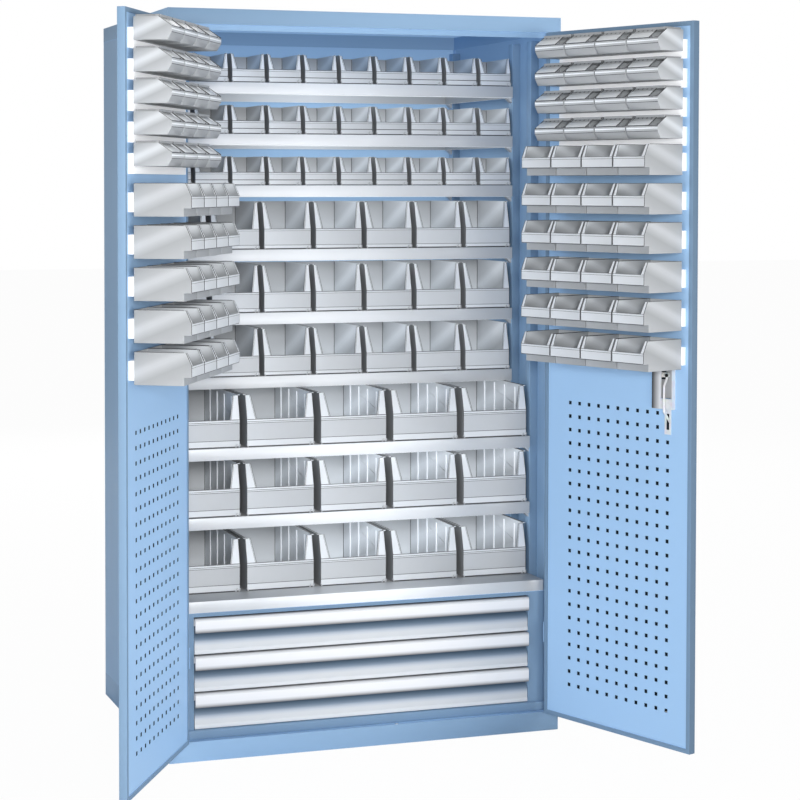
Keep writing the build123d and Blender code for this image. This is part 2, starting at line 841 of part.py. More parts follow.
def build_lock():
    save("lock_cover", swing(1, [lock_cover()]))
    save("handle_plate", swing(1, [handle_plate()]))
    save("rod_guides", swing(1, rod_guides()))
    save("turn_handle", swing(1, [turn_handle()]))
    save("handle_spindle", swing(1, [handle_spindle()]))
    save("lock_cam", swing(1, [lock_cam()]))
    save("cam_nut", swing(1, [cam_nut()]))
    save("lower_rod", swing(1, [lower_rod()]))
    save("rod_screw", swing(1, [rod_screw()]))
    save("upper_rod", swing(1, [upper_rod()]))


def build_drawers():
    fixed_rails = []
    for i in range(drawer_count):
        z = drawer_first + i * drawer_pitch
        fixed, middle, inner = slide_parts(z + slide_up)
        fixed_rails += fixed
        name = f"drawer_{i + 1}"
        save(f"{name}_mid_rails", middle)
        save(f"{name}_slide_rails", inner)
        save(f"{name}_box", [drawer_box(z)])
        save(f"{name}_front", [drawer_front(z)])
        save(f"{name}_handle", [drawer_handle(z)])
    save("drawer_fixed_rails", fixed_rails)


os.makedirs("parts", exist_ok=True)
build_body()
build_shelf_bins()
build_doors()
build_lock()
build_drawers()
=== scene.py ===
import json
import math
import bmesh
import bpy
from mathutils import Matrix, Vector


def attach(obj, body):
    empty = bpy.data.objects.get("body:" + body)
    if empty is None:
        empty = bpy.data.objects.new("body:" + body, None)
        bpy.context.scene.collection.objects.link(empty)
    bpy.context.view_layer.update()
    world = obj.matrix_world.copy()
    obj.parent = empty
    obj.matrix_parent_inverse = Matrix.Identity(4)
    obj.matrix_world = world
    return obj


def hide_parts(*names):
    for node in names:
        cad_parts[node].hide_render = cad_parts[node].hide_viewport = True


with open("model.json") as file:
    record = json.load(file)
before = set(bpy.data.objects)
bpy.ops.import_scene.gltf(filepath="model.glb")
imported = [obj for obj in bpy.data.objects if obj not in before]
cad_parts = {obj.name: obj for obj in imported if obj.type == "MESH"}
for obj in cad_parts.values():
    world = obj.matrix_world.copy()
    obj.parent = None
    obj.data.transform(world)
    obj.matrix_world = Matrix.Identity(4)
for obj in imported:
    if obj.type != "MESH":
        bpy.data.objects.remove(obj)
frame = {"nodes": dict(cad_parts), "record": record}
print("frame loaded:", len(frame["nodes"]), "nodes")
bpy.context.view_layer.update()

# Sizes are in millimetres, as on the maker's drawing, and meshes are scaled to metres when they are finished
toMetres = 0.001
cabinet = dict(half=550.0, front=-380.0, doorEdge=521.0, doorWidth=519.5, doorLow=54.0, doorHigh=1908.0)
hinge = dict(pinX=523.0, pinY=-385.4, leftOpen=-121.0, rightOpen=110.0)
sideName = {-1: "left", 1: "right"}


# Camera, stage and lamps
# The picture's centre column and row are in pixels of an 800 pixel frame, as is the focal length
cameraView = dict(
    place=(-1.831, -5.423, 1.497), yaw=-17.83, pitch=-1.90, focal=2027.5,
    frame=800.0, centreColumn=295.1, centreRow=251.9,
)
stageLamps = {
    "keyLamp": dict(place=(-1.6, -5.6, 1.75), target=(0.0, 0.0, 1.2), watts=135.0, size=0.8),
    "lowLamp": dict(place=(0.2, -4.6, 0.40), target=(0.0, 0.0, 1.6), watts=26.0, size=1.4),
    "leftLamp": dict(place=(-4.6, -3.6, 1.6), target=(0.4, -0.5, 1.0), watts=56.0, size=1.8),
    "rightLamp": dict(place=(3.6, -4.4, 1.6), target=(-0.6, -0.6, 1.0), watts=74.0, size=1.8),
    "topLamp": dict(place=(0.6, -1.8, 5.2), target=(0.0, 0.0, 1.2), watts=34.0, size=2.5),
    "backLamp": dict(place=(1.6, 6.0, 2.6), target=(0.0, 0.0, 1.0), watts=170.0, size=2.5),
}
fillWorld = 0.22  # how strongly the world lights the object
glossWorld = 0.3  # how much of the white background shows in gloss


def makeCamera():
    data = bpy.data.cameras.new("viewCamera")
    data.sensor_width = 36.0
    data.lens = cameraView["focal"] / cameraView["frame"] * data.sensor_width
    data.shift_x = 0.5 - cameraView["centreColumn"] / cameraView["frame"]
    data.shift_y = cameraView["centreRow"] / cameraView["frame"] - 0.5
    data.clip_end = 100.0
    camera = bpy.data.objects.new("viewCamera", data)
    camera.location = cameraView["place"]
    camera.rotation_euler = (math.radians(90 + cameraView["pitch"]), 0, math.radians(cameraView["yaw"]))
    bpy.context.collection.objects.link(camera)
    bpy.context.scene.camera = camera


def addLamp(name, place, target, watts, size):
    data = bpy.data.lights.new(name, "AREA")
    data.shape = "SQUARE"
    data.size = size
    data.energy = watts
    lamp = bpy.data.objects.new(name, data)
    lamp.location = place
    lamp.rotation_euler = (Vector(target) - Vector(place)).to_track_quat("-Z", "Y").to_euler()
    bpy.context.collection.objects.link(lamp)


makeCamera()
for lampName, lampSetting in stageLamps.items():
    addLamp(lampName, **lampSetting)
bpy.context.scene.view_settings.view_transform = "Standard"
print("camera and lamps placed")


# Shader maths: a socket that takes the usual operators
class Wire:
    def __init__(self, tree, socket):
        self.tree = tree
        self.socket = socket

    def math(self, operation, other=None, flip=False):
        node = self.tree.nodes.new("ShaderNodeMath")
        node.operation = operation
        values = [other, self] if flip else [self, other]
        for place, value in enumerate(values):
            if isinstance(value, Wire):
                self.tree.links.new(value.socket, node.inputs[place])
            elif value is not None:
                node.inputs[place].default_value = value
        return Wire(self.tree, node.outputs[0])

    def __add__(self, other):
        return self.math("ADD", other)

    def __mul__(self, other):
        return self.math("MULTIPLY", other)

    def __sub__(self, other):
        return self.math("SUBTRACT", other)

    def __rsub__(self, other):
        return self.math("SUBTRACT", other, flip=True)

    def __truediv__(self, other):
        return self.math("DIVIDE", other)

    __radd__ = __add__
    __rmul__ = __mul__


class Finish:
    def __init__(self, name):
        self.material = bpy.data.materials.new(name)
        self.material.use_nodes = True
        self.tree = self.material.node_tree
        self.tree.nodes.clear()
        self.out = self.tree.nodes.new("ShaderNodeOutputMaterial")

    def node(self, kind, settings=None, output=0, **inputs):
        made = self.tree.nodes.new("ShaderNode" + kind)
        for key, value in (settings or {}).items():
            if key == "stops":
                self.setStops(made.color_ramp, value)
            else:
                setattr(made, key, value)
        for key, value in inputs.items():
            # an input goes by its name, with _ for a space, or by its number, as in at6
            number = key[2:] if key.startswith("at") else ""
            socket = made.inputs[int(number) if number else key.replace("_", " ")]
            if isinstance(value, Wire):
                self.tree.links.new(value.socket, socket)
            else:
                socket.default_value = value
        return Wire(self.tree, made.outputs[output])

    def setStops(self, ramp, stops):
        while len(ramp.elements) > 1:
            ramp.elements.remove(ramp.elements[-1])
        for place, (position, colour) in enumerate(stops):
            element = ramp.elements[0] if place == 0 else ramp.elements.new(position)
            element.position = position
            element.color = (*colour, 1.0)

    def ramp(self, factor, stops):
        return self.node("ValToRGB", {"stops": stops}, Fac=factor)

    def mixColour(self, factor, first, second, blend="MIX"):
        settings = {"data_type": "RGBA", "blend_type": blend}
        first, second = [v if isinstance(v, Wire) else (*v, 1.0) for v in (first, second)]
        return self.node("Mix", settings, output=2, at0=factor, at6=first, at7=second)

    def attribute(self, name, output=2):
        # output 1 is a vector and output 2 a number
        return self.node("Attribute", {"attribute_name": name}, output=output)

    def places(self):
        return self.node("TexCoord", output=3)

    def axis(self, vector, which):
        return self.node("SeparateXYZ", output="XYZ".index(which), Vector=vector)

    def noise(self, scale, detail=3.0, stretch=None):
        where = self.places()
        if stretch:
            where = self.node("Mapping", Vector=where, Scale=stretch)
        return self.node("TexNoise", Vector=where, Scale=scale, Detail=detail)

    def shader(self, **inputs):
        bump = inputs.pop("bump", None)
        if bump:
            height, strength, distance = bump
            inputs["Normal"] = self.node("Bump", Height=height, Strength=strength, Distance=distance)
        shader = self.node("BsdfPrincipled", **inputs)
        self.tree.links.new(shader.socket, self.out.inputs["Surface"])
        return self.material


def shade(colour, amount):
    return tuple(channel * amount for channel in colour)


def levelled(colour, levels):
    # the stops of a ramp that holds one colour at several levels
    return [(place, shade(colour, level)) for place, level in levels]


def toned(finish, colour):
    # tone brightens or darkens the colour as painted light and shade. It is 0 where a mesh has no such
    # attribute, which leaves the colour as it is
    tone = finish.attribute("tone") + 1.0
    grey = finish.node("CombineColor", Red=tone, Green=tone, Blue=tone)
    return finish.mixColour(1.0, colour, grey, "MULTIPLY")


def powderCoat(name, colour, roughness=0.42):
    # sheen is a faint glow of the coat's own colour, inside the cabinet, where light is thrown back and forth
    finish = Finish(name)
    cloud = finish.noise(2.2, 2.0)
    grain = finish.noise(900.0, 2.0)
    body = toned(finish, finish.mixColour(cloud, shade(colour, 0.97), shade(colour, 1.03)))
    rough = finish.noise(14.0, 3.0) * 0.10 + (roughness - 0.05)
    lit = finish.mixColour(finish.attribute("sheen"), (0.0, 0.0, 0.0), body)
    return finish.shader(
        Base_Color=body, Roughness=rough, Specular_IOR_Level=0.12,
        Emission_Color=lit, Emission_Strength=1.0, bump=(grain, 0.12, 0.0004),
    )


# Light on a shelf's edge and on its underside, from the left end of the shelf to the right one
shelfLight = dict(
    wide=1.04,
    edge=[(0.0, 0.74), (0.20, 0.82), (0.42, 1.08), (0.58, 1.08), (0.80, 0.80), (1.0, 0.62)],
    under=[(0.0, 0.10), (0.18, 0.18), (0.38, 0.80), (0.52, 1.10), (0.72, 0.95), (1.0, 0.80)],
)


def shelfSheet(name, colour):
    # sheen is 1 on undersides, which glow faintly, and 0 elsewhere
    finish = Finish(name)
    across = finish.axis(finish.places(), "X") / shelfLight["wide"] + 0.5
    front = finish.ramp(across, levelled(colour, shelfLight["edge"]))
    below = finish.ramp(across, levelled(colour, shelfLight["under"]))
    sheen = finish.attribute("sheen")
    body = toned(finish, finish.mixColour(sheen, front, below))
    grain = finish.noise(700.0, 2.0)
    rough = finish.noise(9.0, 3.0) * 0.12 + 0.28
    lit = finish.mixColour(sheen, (0.0, 0.0, 0.0), below)
    return finish.shader(
        Base_Color=body, Roughness=rough, Metallic=0.1,
        Emission_Color=lit, Emission_Strength=1.0, bump=(grain, 0.08, 0.0003),
    )


# The slanted band of light on a bin's side wall, in shares of the bin's height and depth
binLight = dict(
    lean=0.75, spread=0.6, start=0.29, tint=(1.0, 1.01, 1.02),
    bands=[(0.0, 0.80), (0.28, 0.62), (0.46, 1.0), (0.52, 1.0), (0.62, 0.74), (0.80, 0.56), (1.0, 0.50)],
)


def mouldedPlastic(name, colour):
    # the spot attribute is a place in its own bin from 0 to 1, and sheen is how much of the light band shows
    finish = Finish(name)
    spot, sheen = finish.attribute("spot", 1), finish.attribute("sheen")
    rise = finish.axis(spot, "Z") - finish.axis(spot, "Y") * binLight["lean"]
    slant = rise * binLight["spread"] + binLight["start"]
    light = finish.ramp(slant, levelled(binLight["tint"], binLight["bands"]))
    speck = finish.noise(60.0, 4.0)
    plain = finish.mixColour(speck, shade(colour, 0.98), shade(colour, 1.02))
    banded = finish.mixColour(1.0, plain, light, "MULTIPLY")
    body = toned(finish, finish.mixColour(sheen, plain, banded))
    rough = finish.noise(30.0, 2.0) * 0.15 + 0.34
    grain = finish.noise(1400.0, 2.0)
    return finish.shader(Base_Color=body, Roughness=rough, bump=(grain, 0.10, 0.0002))


def zincSteel(name, colour, roughness=0.34, metallic=0.85):
    finish = Finish(name)
    spangle = finish.node("TexVoronoi", Vector=finish.places(), Scale=90.0, output=1)
    body = toned(finish, finish.mixColour(0.94, spangle, colour))
    streak = finish.noise(40.0, 3.0, (1.0, 1.0, 12.0))
    rough = streak * 0.18 + (roughness - 0.09)
    return finish.shader(Base_Color=body, Roughness=rough, Metallic=metallic, bump=(streak, 0.06, 0.0003))


# The drawers repeat upwards, and so does the light on them. Places are in metres
drawerLayout = dict(first=0.076, pitch=0.098)
drawerLight = dict(
    front=[(0.0, 1.0), (0.10, 0.98), (0.115, 0.86), (0.22, 0.88)],
    behindGrip=[
        (0.28, (0.52, 0.56, 0.61)), (0.36, (0.27, 0.33, 0.41)),
        (0.43, (0.13, 0.19, 0.26)), (0.50, (0.07, 0.11, 0.16)),
    ],
    grip=[
        (0.0, 0.16), (0.54, 0.15), (0.60, 0.22), (0.64, 0.56),
        (0.70, 0.84), (0.88, 0.88), (0.945, 0.60), (1.0, 0.5),
    ],
)


def drawerRise(finish):
    # 0 at the foot of a drawer and 1 at the foot of the next one
    up = (finish.axis(finish.places(), "Z") - drawerLayout["first"]) / drawerLayout["pitch"]
    return up.math("FRACT")


def drawerPaint(name, colour):
    # each front is light below and falls into shade behind its handle
    finish = Finish(name)
    stops = levelled(colour, drawerLight["front"]) + drawerLight["behindGrip"]
    body = toned(finish, finish.ramp(drawerRise(finish), stops))
    grain = finish.noise(800.0, 2.0)
    rough = finish.noise(11.0, 3.0) * 0.1 + 0.36
    return finish.shader(Base_Color=body, Roughness=rough, bump=(grain, 0.08, 0.0003))


def anodised(name, colour):
    # a pull with a painted highlight on its round nose and painted shade on its lower edge, drawn along its
    # length
    finish = Finish(name)
    base = finish.ramp(drawerRise(finish), levelled(colour, drawerLight["grip"]))
    draw = finish.noise(60.0, 3.0, (0.4, 30.0, 30.0))
    body = finish.mixColour(draw * 0.12, base, colour)
    rough = draw * 0.12 + 0.30
    return finish.shader(Base_Color=body, Roughness=rough, bump=(draw, 0.05, 0.0002))


finishes = {
    "cabinet_blue": powderCoat("blueCoat", (0.302, 0.468, 0.675)),
    "shelf_grey": shelfSheet("shelfCoat", (0.80, 0.82, 0.84)),
    "rail_white": powderCoat("railCoat", (0.84, 0.85, 0.87), 0.38),
    "bin_grey": mouldedPlastic("binPlastic", (0.56, 0.58, 0.60)),
    "slide_steel": zincSteel("slideZinc", (0.66, 0.67, 0.69)),
    "drawer_grey": drawerPaint("drawerCoat", (0.70, 0.72, 0.74)),
    "handle_aluminium": anodised("gripExtrusion", (0.95, 0.95, 0.96)),
    "lock_steel": zincSteel("lockZinc", (0.78, 0.79, 0.80), 0.40, 0.15),
    "handle_chrome": zincSteel("handleChrome", (0.80, 0.80, 0.82), 0.16, 1.0),
    "screw_black": powderCoat("screwBlack", (0.012, 0.012, 0.013), 0.30),
}
print("finishes mixed:", len(finishes))


# The stage is white for the camera and keeps a faint shadow
def stageFinish():
    finish = Finish("paleFloor")
    seen = finish.node("LightPath", output=0)
    light = finish.node("Emission", Color=(1, 1, 1, 1), Strength=1.0)
    matt = finish.node("BsdfDiffuse", Color=(0.92, 0.92, 0.93, 1))
    both = finish.node("MixShader", at0=seen * 0.97, at1=matt, at2=light)
    finish.tree.links.new(both.socket, finish.out.inputs["Surface"])
    return finish.material


def makeStage():
    mesh = bpy.data.meshes.new("paleFloor")
    half = 30.0
    corners = [(-half, -half, 0), (half, -half, 0), (half, half, 0), (-half, half, 0)]
    mesh.from_pydata(corners, [], [(0, 1, 2, 3)])
    mesh.materials.append(stageFinish())
    floor = bpy.data.objects.new("paleFloor", mesh)
    bpy.context.collection.objects.link(floor)
    world = bpy.data.worlds.new("studio")
    bpy.context.scene.world = world
    world.use_nodes = True
    tree = world.node_tree
    tree.nodes.clear()
    out = tree.nodes.new("ShaderNodeOutputWorld")
    path = tree.nodes.new("ShaderNodeLightPath")
    glow = tree.nodes.new("ShaderNodeBackground")
    camera, glossy = [Wire(tree, path.outputs[name]) for name in ("Is Camera Ray", "Is Glossy Ray")]
    seen = camera.math("MAXIMUM", glossy * glossWorld)
    strength = seen * (1.0 - fillWorld) + fillWorld
    tree.links.new(strength.socket, glow.inputs["Strength"])
    glow.inputs["Color"].default_value = (1, 1, 1, 1)
    tree.links.new(glow.outputs[0], out.inputs["Surface"])


makeStage()
print("stage set")


# Mesh helpers. A face looks along an axis when its normal has at least this much of it
facing = 0.7


def meshFrom(name, points, faces):
    mesh = bpy.data.meshes.new(name)
    mesh.from_pydata([tuple(p) for p in points], [], faces)
    return mesh


def looseObject(name, mesh):
    item = bpy.data.objects.new(name, mesh)
    bpy.context.collection.objects.link(item)
    return item


def applied(item):
    graph = bpy.context.evaluated_depsgraph_get()
    ready = item.evaluated_get(graph)
    mesh = bpy.data.meshes.new_from_object(ready, preserve_all_data_layers=True, depsgraph=graph)
    bpy.data.objects.remove(item)
    return mesh


def smoothed(mesh, angle=35.0):
    for face in mesh.polygons:
        face.use_smooth = True
    mesh.set_sharp_from_angle(angle=math.radians(angle))
    return mesh


def addPiece(name, mesh, slot, body, replaced=()):
    mesh.name = name
    mesh.transform(Matrix.Scale(toMetres, 4))
    mesh.materials.clear()
    mesh.materials.append(finishes[slot])
    piece = looseObject(name, smoothed(mesh))
    if replaced:
        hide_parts(*replaced)
    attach(piece, body)
    return piece


def joined(name, meshes):
    work = bmesh.new()
    for mesh in meshes:
        work.from_mesh(mesh)
    out = bpy.data.meshes.new(name)
    work.to_mesh(out)
    work.free()
    return out


def prism(name, outline, plane, low, high):
    # outline points lie in the plane named by two axes, and the third axis runs from low to high
    first, second = ["xyz".index(letter) for letter in plane]
    third = 3 - first - second
    work = bmesh.new()
    rings = []
    for level in (low, high):
        ring = []
        for a, b in outline:
            point = [0.0, 0.0, 0.0]
            point[first], point[second], point[third] = a, b, level
            ring.append(work.verts.new(point))
        rings.append(ring)
    count = len(outline)
    for i in range(count):
        j = (i + 1) % count
        work.faces.new([rings[0][i], rings[0][j], rings[1][j], rings[1][i]])
    work.faces.new(rings[0])
    work.faces.new(rings[1])
    bmesh.ops.recalc_face_normals(work, faces=work.faces)
    mesh = bpy.data.meshes.new(name)
    work.to_mesh(mesh)
    work.free()
    return mesh


def block(x, y, z):
    return prism("block", [(x[0], y[0]), (x[1], y[0]), (x[1], y[1]), (x[0], y[1])], "xy", z[0], z[1])


def rounded(mesh, width, segments=2):
    item = looseObject("rounding", mesh)
    bevel = item.modifiers.new("bevel", "BEVEL")
    bevel.width = width
    bevel.segments = segments
    bevel.limit_method = "ANGLE"
    bevel.angle_limit = math.radians(30)
    return applied(item)


def thickened(mesh, wall, edge):
    # gives an open shell a wall on its inner side, with its edges chamfered
    item = looseObject("wall", mesh)
    solid = item.modifiers.new("solid", "SOLIDIFY")
    solid.thickness = wall
    solid.offset = -1
    solid.use_even_offset = True
    bevel = item.modifiers.new("bevel", "BEVEL")
    bevel.width = edge
    bevel.segments = 1
    bevel.limit_method = "ANGLE"
    bevel.angle_limit = math.radians(40)
    return applied(item)


def setTone(mesh, rule):
    # rule gives the tone of a corner, or its tone and sheen, from its place and its face's normal and middle.
    # Tone paints light and shade into the colour, and sheen paints a light band or a faint glow
    tones, sheens = [], []
    for face in mesh.polygons:
        for loop in face.loop_indices:
            value = rule(mesh.vertices[mesh.loops[loop].vertex_index].co, face.normal, face.center)
            tone, sheen = value if isinstance(value, tuple) else (value, 0.0)
            tones.append(tone - 1.0)
            sheens.append(sheen)
    for name, values in (("tone", tones), ("sheen", sheens)):
        layer = mesh.attributes.get(name) or mesh.attributes.new(name, "FLOAT", "CORNER")
        layer.data.foreach_set("value", values)
    return mesh


def plainTone(mesh, value=1.0):
    return setTone(mesh, lambda spot, normal, middle: value)


def markSpots(mesh, wide, deep, high):
    layer = mesh.attributes.new("spot", "FLOAT_VECTOR", "POINT")
    places = []
    for vertex in mesh.vertices:
        places += [vertex.co.x / wide, -vertex.co.y / deep, vertex.co.z / high]
    layer.data.foreach_set("vector", places)
    return mesh


def bar(x, y, z, value):
    return plainTone(block(x, y, z), value)


def moved(mesh, offset):
    mesh.transform(Matrix.Translation(offset))
    return mesh


def doorSwing(side):
    pin = Vector((side * hinge["pinX"], hinge["pinY"], 0))
    angle = math.radians(hinge["rightOpen"] if side > 0 else hinge["leftOpen"])
    return Matrix.Translation(pin) @ Matrix.Rotation(angle, 4, "Z") @ Matrix.Translation(-pin)


def doorX(side, u):
    return side * (cabinet["doorEdge"] - u)


# Geometry node trees with named inputs
class GeoTree:
    def __init__(self, name):
        self.tree = bpy.data.node_groups.new(name, "GeometryNodeTree")
        self.tree.is_modifier = True
        self.tree.interface.new_socket("Geometry", in_out="INPUT", socket_type="NodeSocketGeometry")
        self.tree.interface.new_socket("Geometry", in_out="OUTPUT", socket_type="NodeSocketGeometry")
        self.entry = self.tree.nodes.new("NodeGroupInput")
        self.exit = self.tree.nodes.new("NodeGroupOutput")
        self.names = {}

    def ask(self, label, kind):
        socket = self.tree.interface.new_socket(label, in_out="INPUT", socket_type="NodeSocket" + kind)
        self.names[label] = socket.identifier
        return self.entry.outputs[label]

    def node(self, kind, settings=None, **inputs):
        made = self.tree.nodes.new("GeometryNode" + kind)
        for key, value in (settings or {}).items():
            setattr(made, key, value)
        for key, value in inputs.items():
            socket = made.inputs[key.replace("_", " ")]
            if isinstance(value, bpy.types.NodeSocket):
                self.tree.links.new(value, socket)
            else:
                socket.default_value = value
        return made

    def close(self, geometry):
        self.tree.links.new(geometry, self.exit.inputs[0])

    def run(self, base, **values):
        item = looseObject("treeWork", base)
        modifier = item.modifiers.new("tree", "NODES")
        modifier.node_group = self.tree
        for label, value in values.items():
            modifier[self.names[label]] = value
        return applied(item)


def buildScatterTree():
    # copies a shape to each point of the base mesh
    geo = GeoTree("scatterOnPoints")
    shape, turn = geo.ask("Shape", "Object"), geo.ask("Turn", "Vector")
    finish = geo.ask("Finish", "Material")
    source = geo.node("ObjectInfo", Object=shape)
    turned = geo.tree.nodes.new("FunctionNodeEulerToRotation")
    geo.tree.links.new(turn, turned.inputs[0])
    points, copied = geo.entry.outputs[0], source.outputs["Geometry"]
    placed = geo.node("InstanceOnPoints", Points=points, Instance=copied, Rotation=turned.outputs[0])
    real = geo.node("RealizeInstances", Geometry=placed.outputs[0])
    painted = geo.node("SetMaterial", Geometry=real.outputs[0], Material=finish)
    geo.close(painted.outputs[0])
    return geo


def buildGridTree():
    # copies a shape along a row, and the row along a column, and welds them to the base mesh
    geo = GeoTree("gridOfShapes")
    shape, finish = geo.ask("Shape", "Object"), geo.ask("Finish", "Material")
    count, start, step = geo.ask("Count", "Int"), geo.ask("Start", "Vector"), geo.ask("Step", "Vector")
    rows, rowStep, weld = geo.ask("Rows", "Int"), geo.ask("RowStep", "Vector"), geo.ask("Weld", "Float")
    source = geo.node("ObjectInfo", Object=shape)
    along = geo.node("MeshLine", Count=count, Start_Location=start, Offset=step)
    upward = geo.node("MeshLine", Count=rows, Offset=rowStep)
    net = geo.node("InstanceOnPoints", Points=upward.outputs[0], Instance=along.outputs[0])
    netReal = geo.node("RealizeInstances", Geometry=net.outputs[0])
    placed = geo.node("InstanceOnPoints", Points=netReal.outputs[0], Instance=source.outputs["Geometry"])
    both = geo.node("JoinGeometry")
    geo.tree.links.new(placed.outputs[0], both.inputs[0])
    geo.tree.links.new(geo.entry.outputs[0], both.inputs[0])
    real = geo.node("RealizeInstances", Geometry=both.outputs[0])
    closed = geo.node("MergeByDistance", Geometry=real.outputs[0], Distance=weld)
    painted = geo.node("SetMaterial", Geometry=closed.outputs[0], Material=finish)
    geo.close(painted.outputs[0])
    return geo


scatterTree = buildScatterTree()
gridTree = buildGridTree()


def scattered(shapeMesh, spots, slot, turn=(0.0, 0.0, 0.0)):
    shape = looseObject("shape", shapeMesh)
    mesh = scatterTree.run(meshFrom("spots", spots, []), Shape=shape, Turn=turn, Finish=finishes[slot])
    bpy.data.objects.remove(shape)
    return mesh


def gridded(shapeMesh, slot, count, start, step, rows=1, rowStep=(0, 0, 0), base=None, weld=0.0001):
    shape = looseObject("shape", shapeMesh)
    base = base or bpy.data.meshes.new("empty")
    values = dict(Count=count, Start=start, Step=step, Rows=rows, RowStep=rowStep, Weld=weld)
    mesh = gridTree.run(base, Shape=shape, Finish=finishes[slot], **values)
    bpy.data.objects.remove(shape)
    return mesh


print("node trees built")


# Bins that stand on the shelves. A front is a stack of bands from the top down: height, set-back and tone,
# and the tone paints highlights on some bands and shade in the grooves
shelfBins = {
    "small": dict(count=10, deep=170.0, high=77.0, front=36.0, slope=12.0, foot=15.0, head=6.0, inset=1.2),
    "medium": dict(count=7, deep=230.0, high=128.0, front=56.0, slope=20.0, foot=20.0, head=8.0, inset=2.6),
    "large": dict(count=5, deep=350.0, high=138.0, front=75.0, slope=18.0, foot=26.0, head=14.0, inset=5.5),
}
binBands = {
    "small": (
        (1.6, 1.0, 0.10), (3.2, 0.0, 1.3), (1.0, 1.0, 0.3), (14.6, 0.4, 1.15),
        (1.8, 1.0, 0.14), (11.6, 0.2, 1.2), (2.2, 1.2, 0.10),
    ),
    "medium": (
        (1.6, 1.0, 0.10), (3.4, 0.0, 1.3), (1.0, 1.0, 0.3), (38.0, 0.4, 1.12),
        (1.2, 1.0, 0.25), (8.0, 0.2, 1.3), (2.8, 1.2, 0.10),
    ),
    "large": (
        (1.6, 1.0, 0.10), (4.4, 0.0, 1.3), (1.2, 1.0, 0.2), (3.0, 0.2, 1.2), (1.2, 1.0, 0.2),
        (44.0, 0.4, 0.96), (1.4, 1.0, 0.2), (15.2, 0.2, 1.25), (3.0, 1.2, 0.10),
    ),
}
# Painted light and shade on the shelf bins: outer sides darkened as painted shade in the gaps between bins,
# insides and slopes lightened with a light band on the inner side walls, a dark rim, a back wall that darkens
# upwards, a front that darkens across its width, and dark strips as painted shade in grooves, along borders
# and in corners
binTones = dict(
    outside=0.62, inside=1.4, rim=0.12, ramp=1.34, back=1.5, backFall=0.95, floor=1.5,
    front=1.06, frontFall=0.22, other=0.6, border=0.07, line=0.10, corner=0.06,
)
# The ribs' tone paints them light, as painted highlights on the inner side walls
binRibs = dict(
    kind="large", count=4, wide=2.6, deep=5.0, foot=4.0, drop=8.0,
    inset=1.5, first=60.0, pitch=72.0, tone=2.0,
)
binTeeth = dict(wide=2.6, deep=3.0, rise=0.6, inset=0.2, first=6.0, pitch=9.0, tone=0.8)
binHook = dict(outline=[(-3.0, 9.0), (-1.0, 9.0), (3.5, 1.0), (0.0, 0.6)], back=-2.6, front=0.8, tone=0.8)
shelfRows = {
    "small": dict(levels=(1775.0, 1635.0, 1495.0), front=-129.5, loose=7),
    "medium": dict(levels=(1320.0, 1147.0, 973.0), front=-129.5, loose=4),
    "large": dict(levels=(796.0, 612.0, 410.0), front=-254.5, loose=2),
}
rowLayout = dict(half=520.0, gap=9.0, setback=4.0, lift=0.3, wall=2.0)


def shellMesh(name, low, high, profile, skip=(), extra=()):
    # a side profile of (y, z) points drawn from x = low to x = high, with both ends closed
    count = len(profile)
    points = [(low, y, z) for y, z in profile] + [(high, y, z) for y, z in profile]
    faces = [tuple(range(count)), tuple(range(2 * count - 1, count - 1, -1))]
    for i in range(count):
        j = (i + 1) % count
        if i not in skip:
            faces.append((i, i + count, j + count, j))
    for corners in extra:
        faces.append(tuple(range(len(points), len(points) + len(corners))))
        points += corners
    mesh = meshFrom(name, points, faces)
    work = bmesh.new()
    work.from_mesh(mesh)
    bmesh.ops.remove_doubles(work, verts=work.verts, dist=0.001)
    bmesh.ops.recalc_face_normals(work, faces=work.faces)
    work.to_mesh(mesh)
    work.free()
    return mesh


def outwards(mesh, inside):
    # turns an open shell so that its faces point away from a point inside it
    work = bmesh.new()
    work.from_mesh(mesh)
    largest = max(work.faces, key=lambda face: face.calc_area())
    if (largest.calc_center_median() - Vector(inside)).dot(largest.normal) < 0:
        bmesh.ops.reverse_faces(work, faces=work.faces)
    work.to_mesh(mesh)
    work.free()
    return mesh


def strip(start, end, across, outward, value):
    # a thin bar from start to end, with its width and its thickness given as vectors
    points = []
    for point in (start, end):
        near, far = Vector(point), Vector(point) + Vector(across)
        points += [near, far, far + Vector(outward), near + Vector(outward)]
    faces = [(0, 1, 2, 3), (7, 6, 5, 4)] + [(i, i + 4, (i + 1) % 4 + 4, (i + 1) % 4) for i in range(4)]
    mesh = meshFrom("strip", points, faces)
    return plainTone(outwards(mesh, sum(points, Vector()) / 8), value)


def bandProfile(bands, deep, top):
    points = []
    for high, setBack, value in bands:
        points += [(setBack - deep, top), (setBack - deep, top - high)]
        top -= high
    return points


def bandTone(bands, top, z):
    for high, setBack, value in bands:
        top -= high
        if z > top:
            return value
    return bands[-1][2]


# The painted light and shade of each face of a shelf bin, from binTones
def shelfBinTone(kind, bands, wide):
    deep, high, low = kind["deep"], kind["high"], kind["front"]

    def rule(spot, normal, middle):
        fromFront = middle.y + deep
        if abs(normal.x) > facing:
            return binTones["outside"] if normal.x * (middle.x - wide / 2) > 0 else (binTones["inside"], 1.0)
        if normal.z > facing and middle.z > high - 4.0:
            return binTones["rim"]
        if fromFront < kind["slope"] + 4.0 and middle.z > low and normal.y < -0.2:
            return binTones["ramp"]
        if normal.y < -facing and middle.y > -10.0:
            return binTones["back"] - binTones["backFall"] * spot.z / high
        if normal.z > facing and middle.z < 4.0:
            return binTones["floor"]
        if normal.y < -facing and fromFront < 3.0:
            across = binTones["front"] - binTones["frontFall"] * spot.x / wide
            return bandTone(bands, low, middle.z) * across
        return binTones["other"]

    return rule


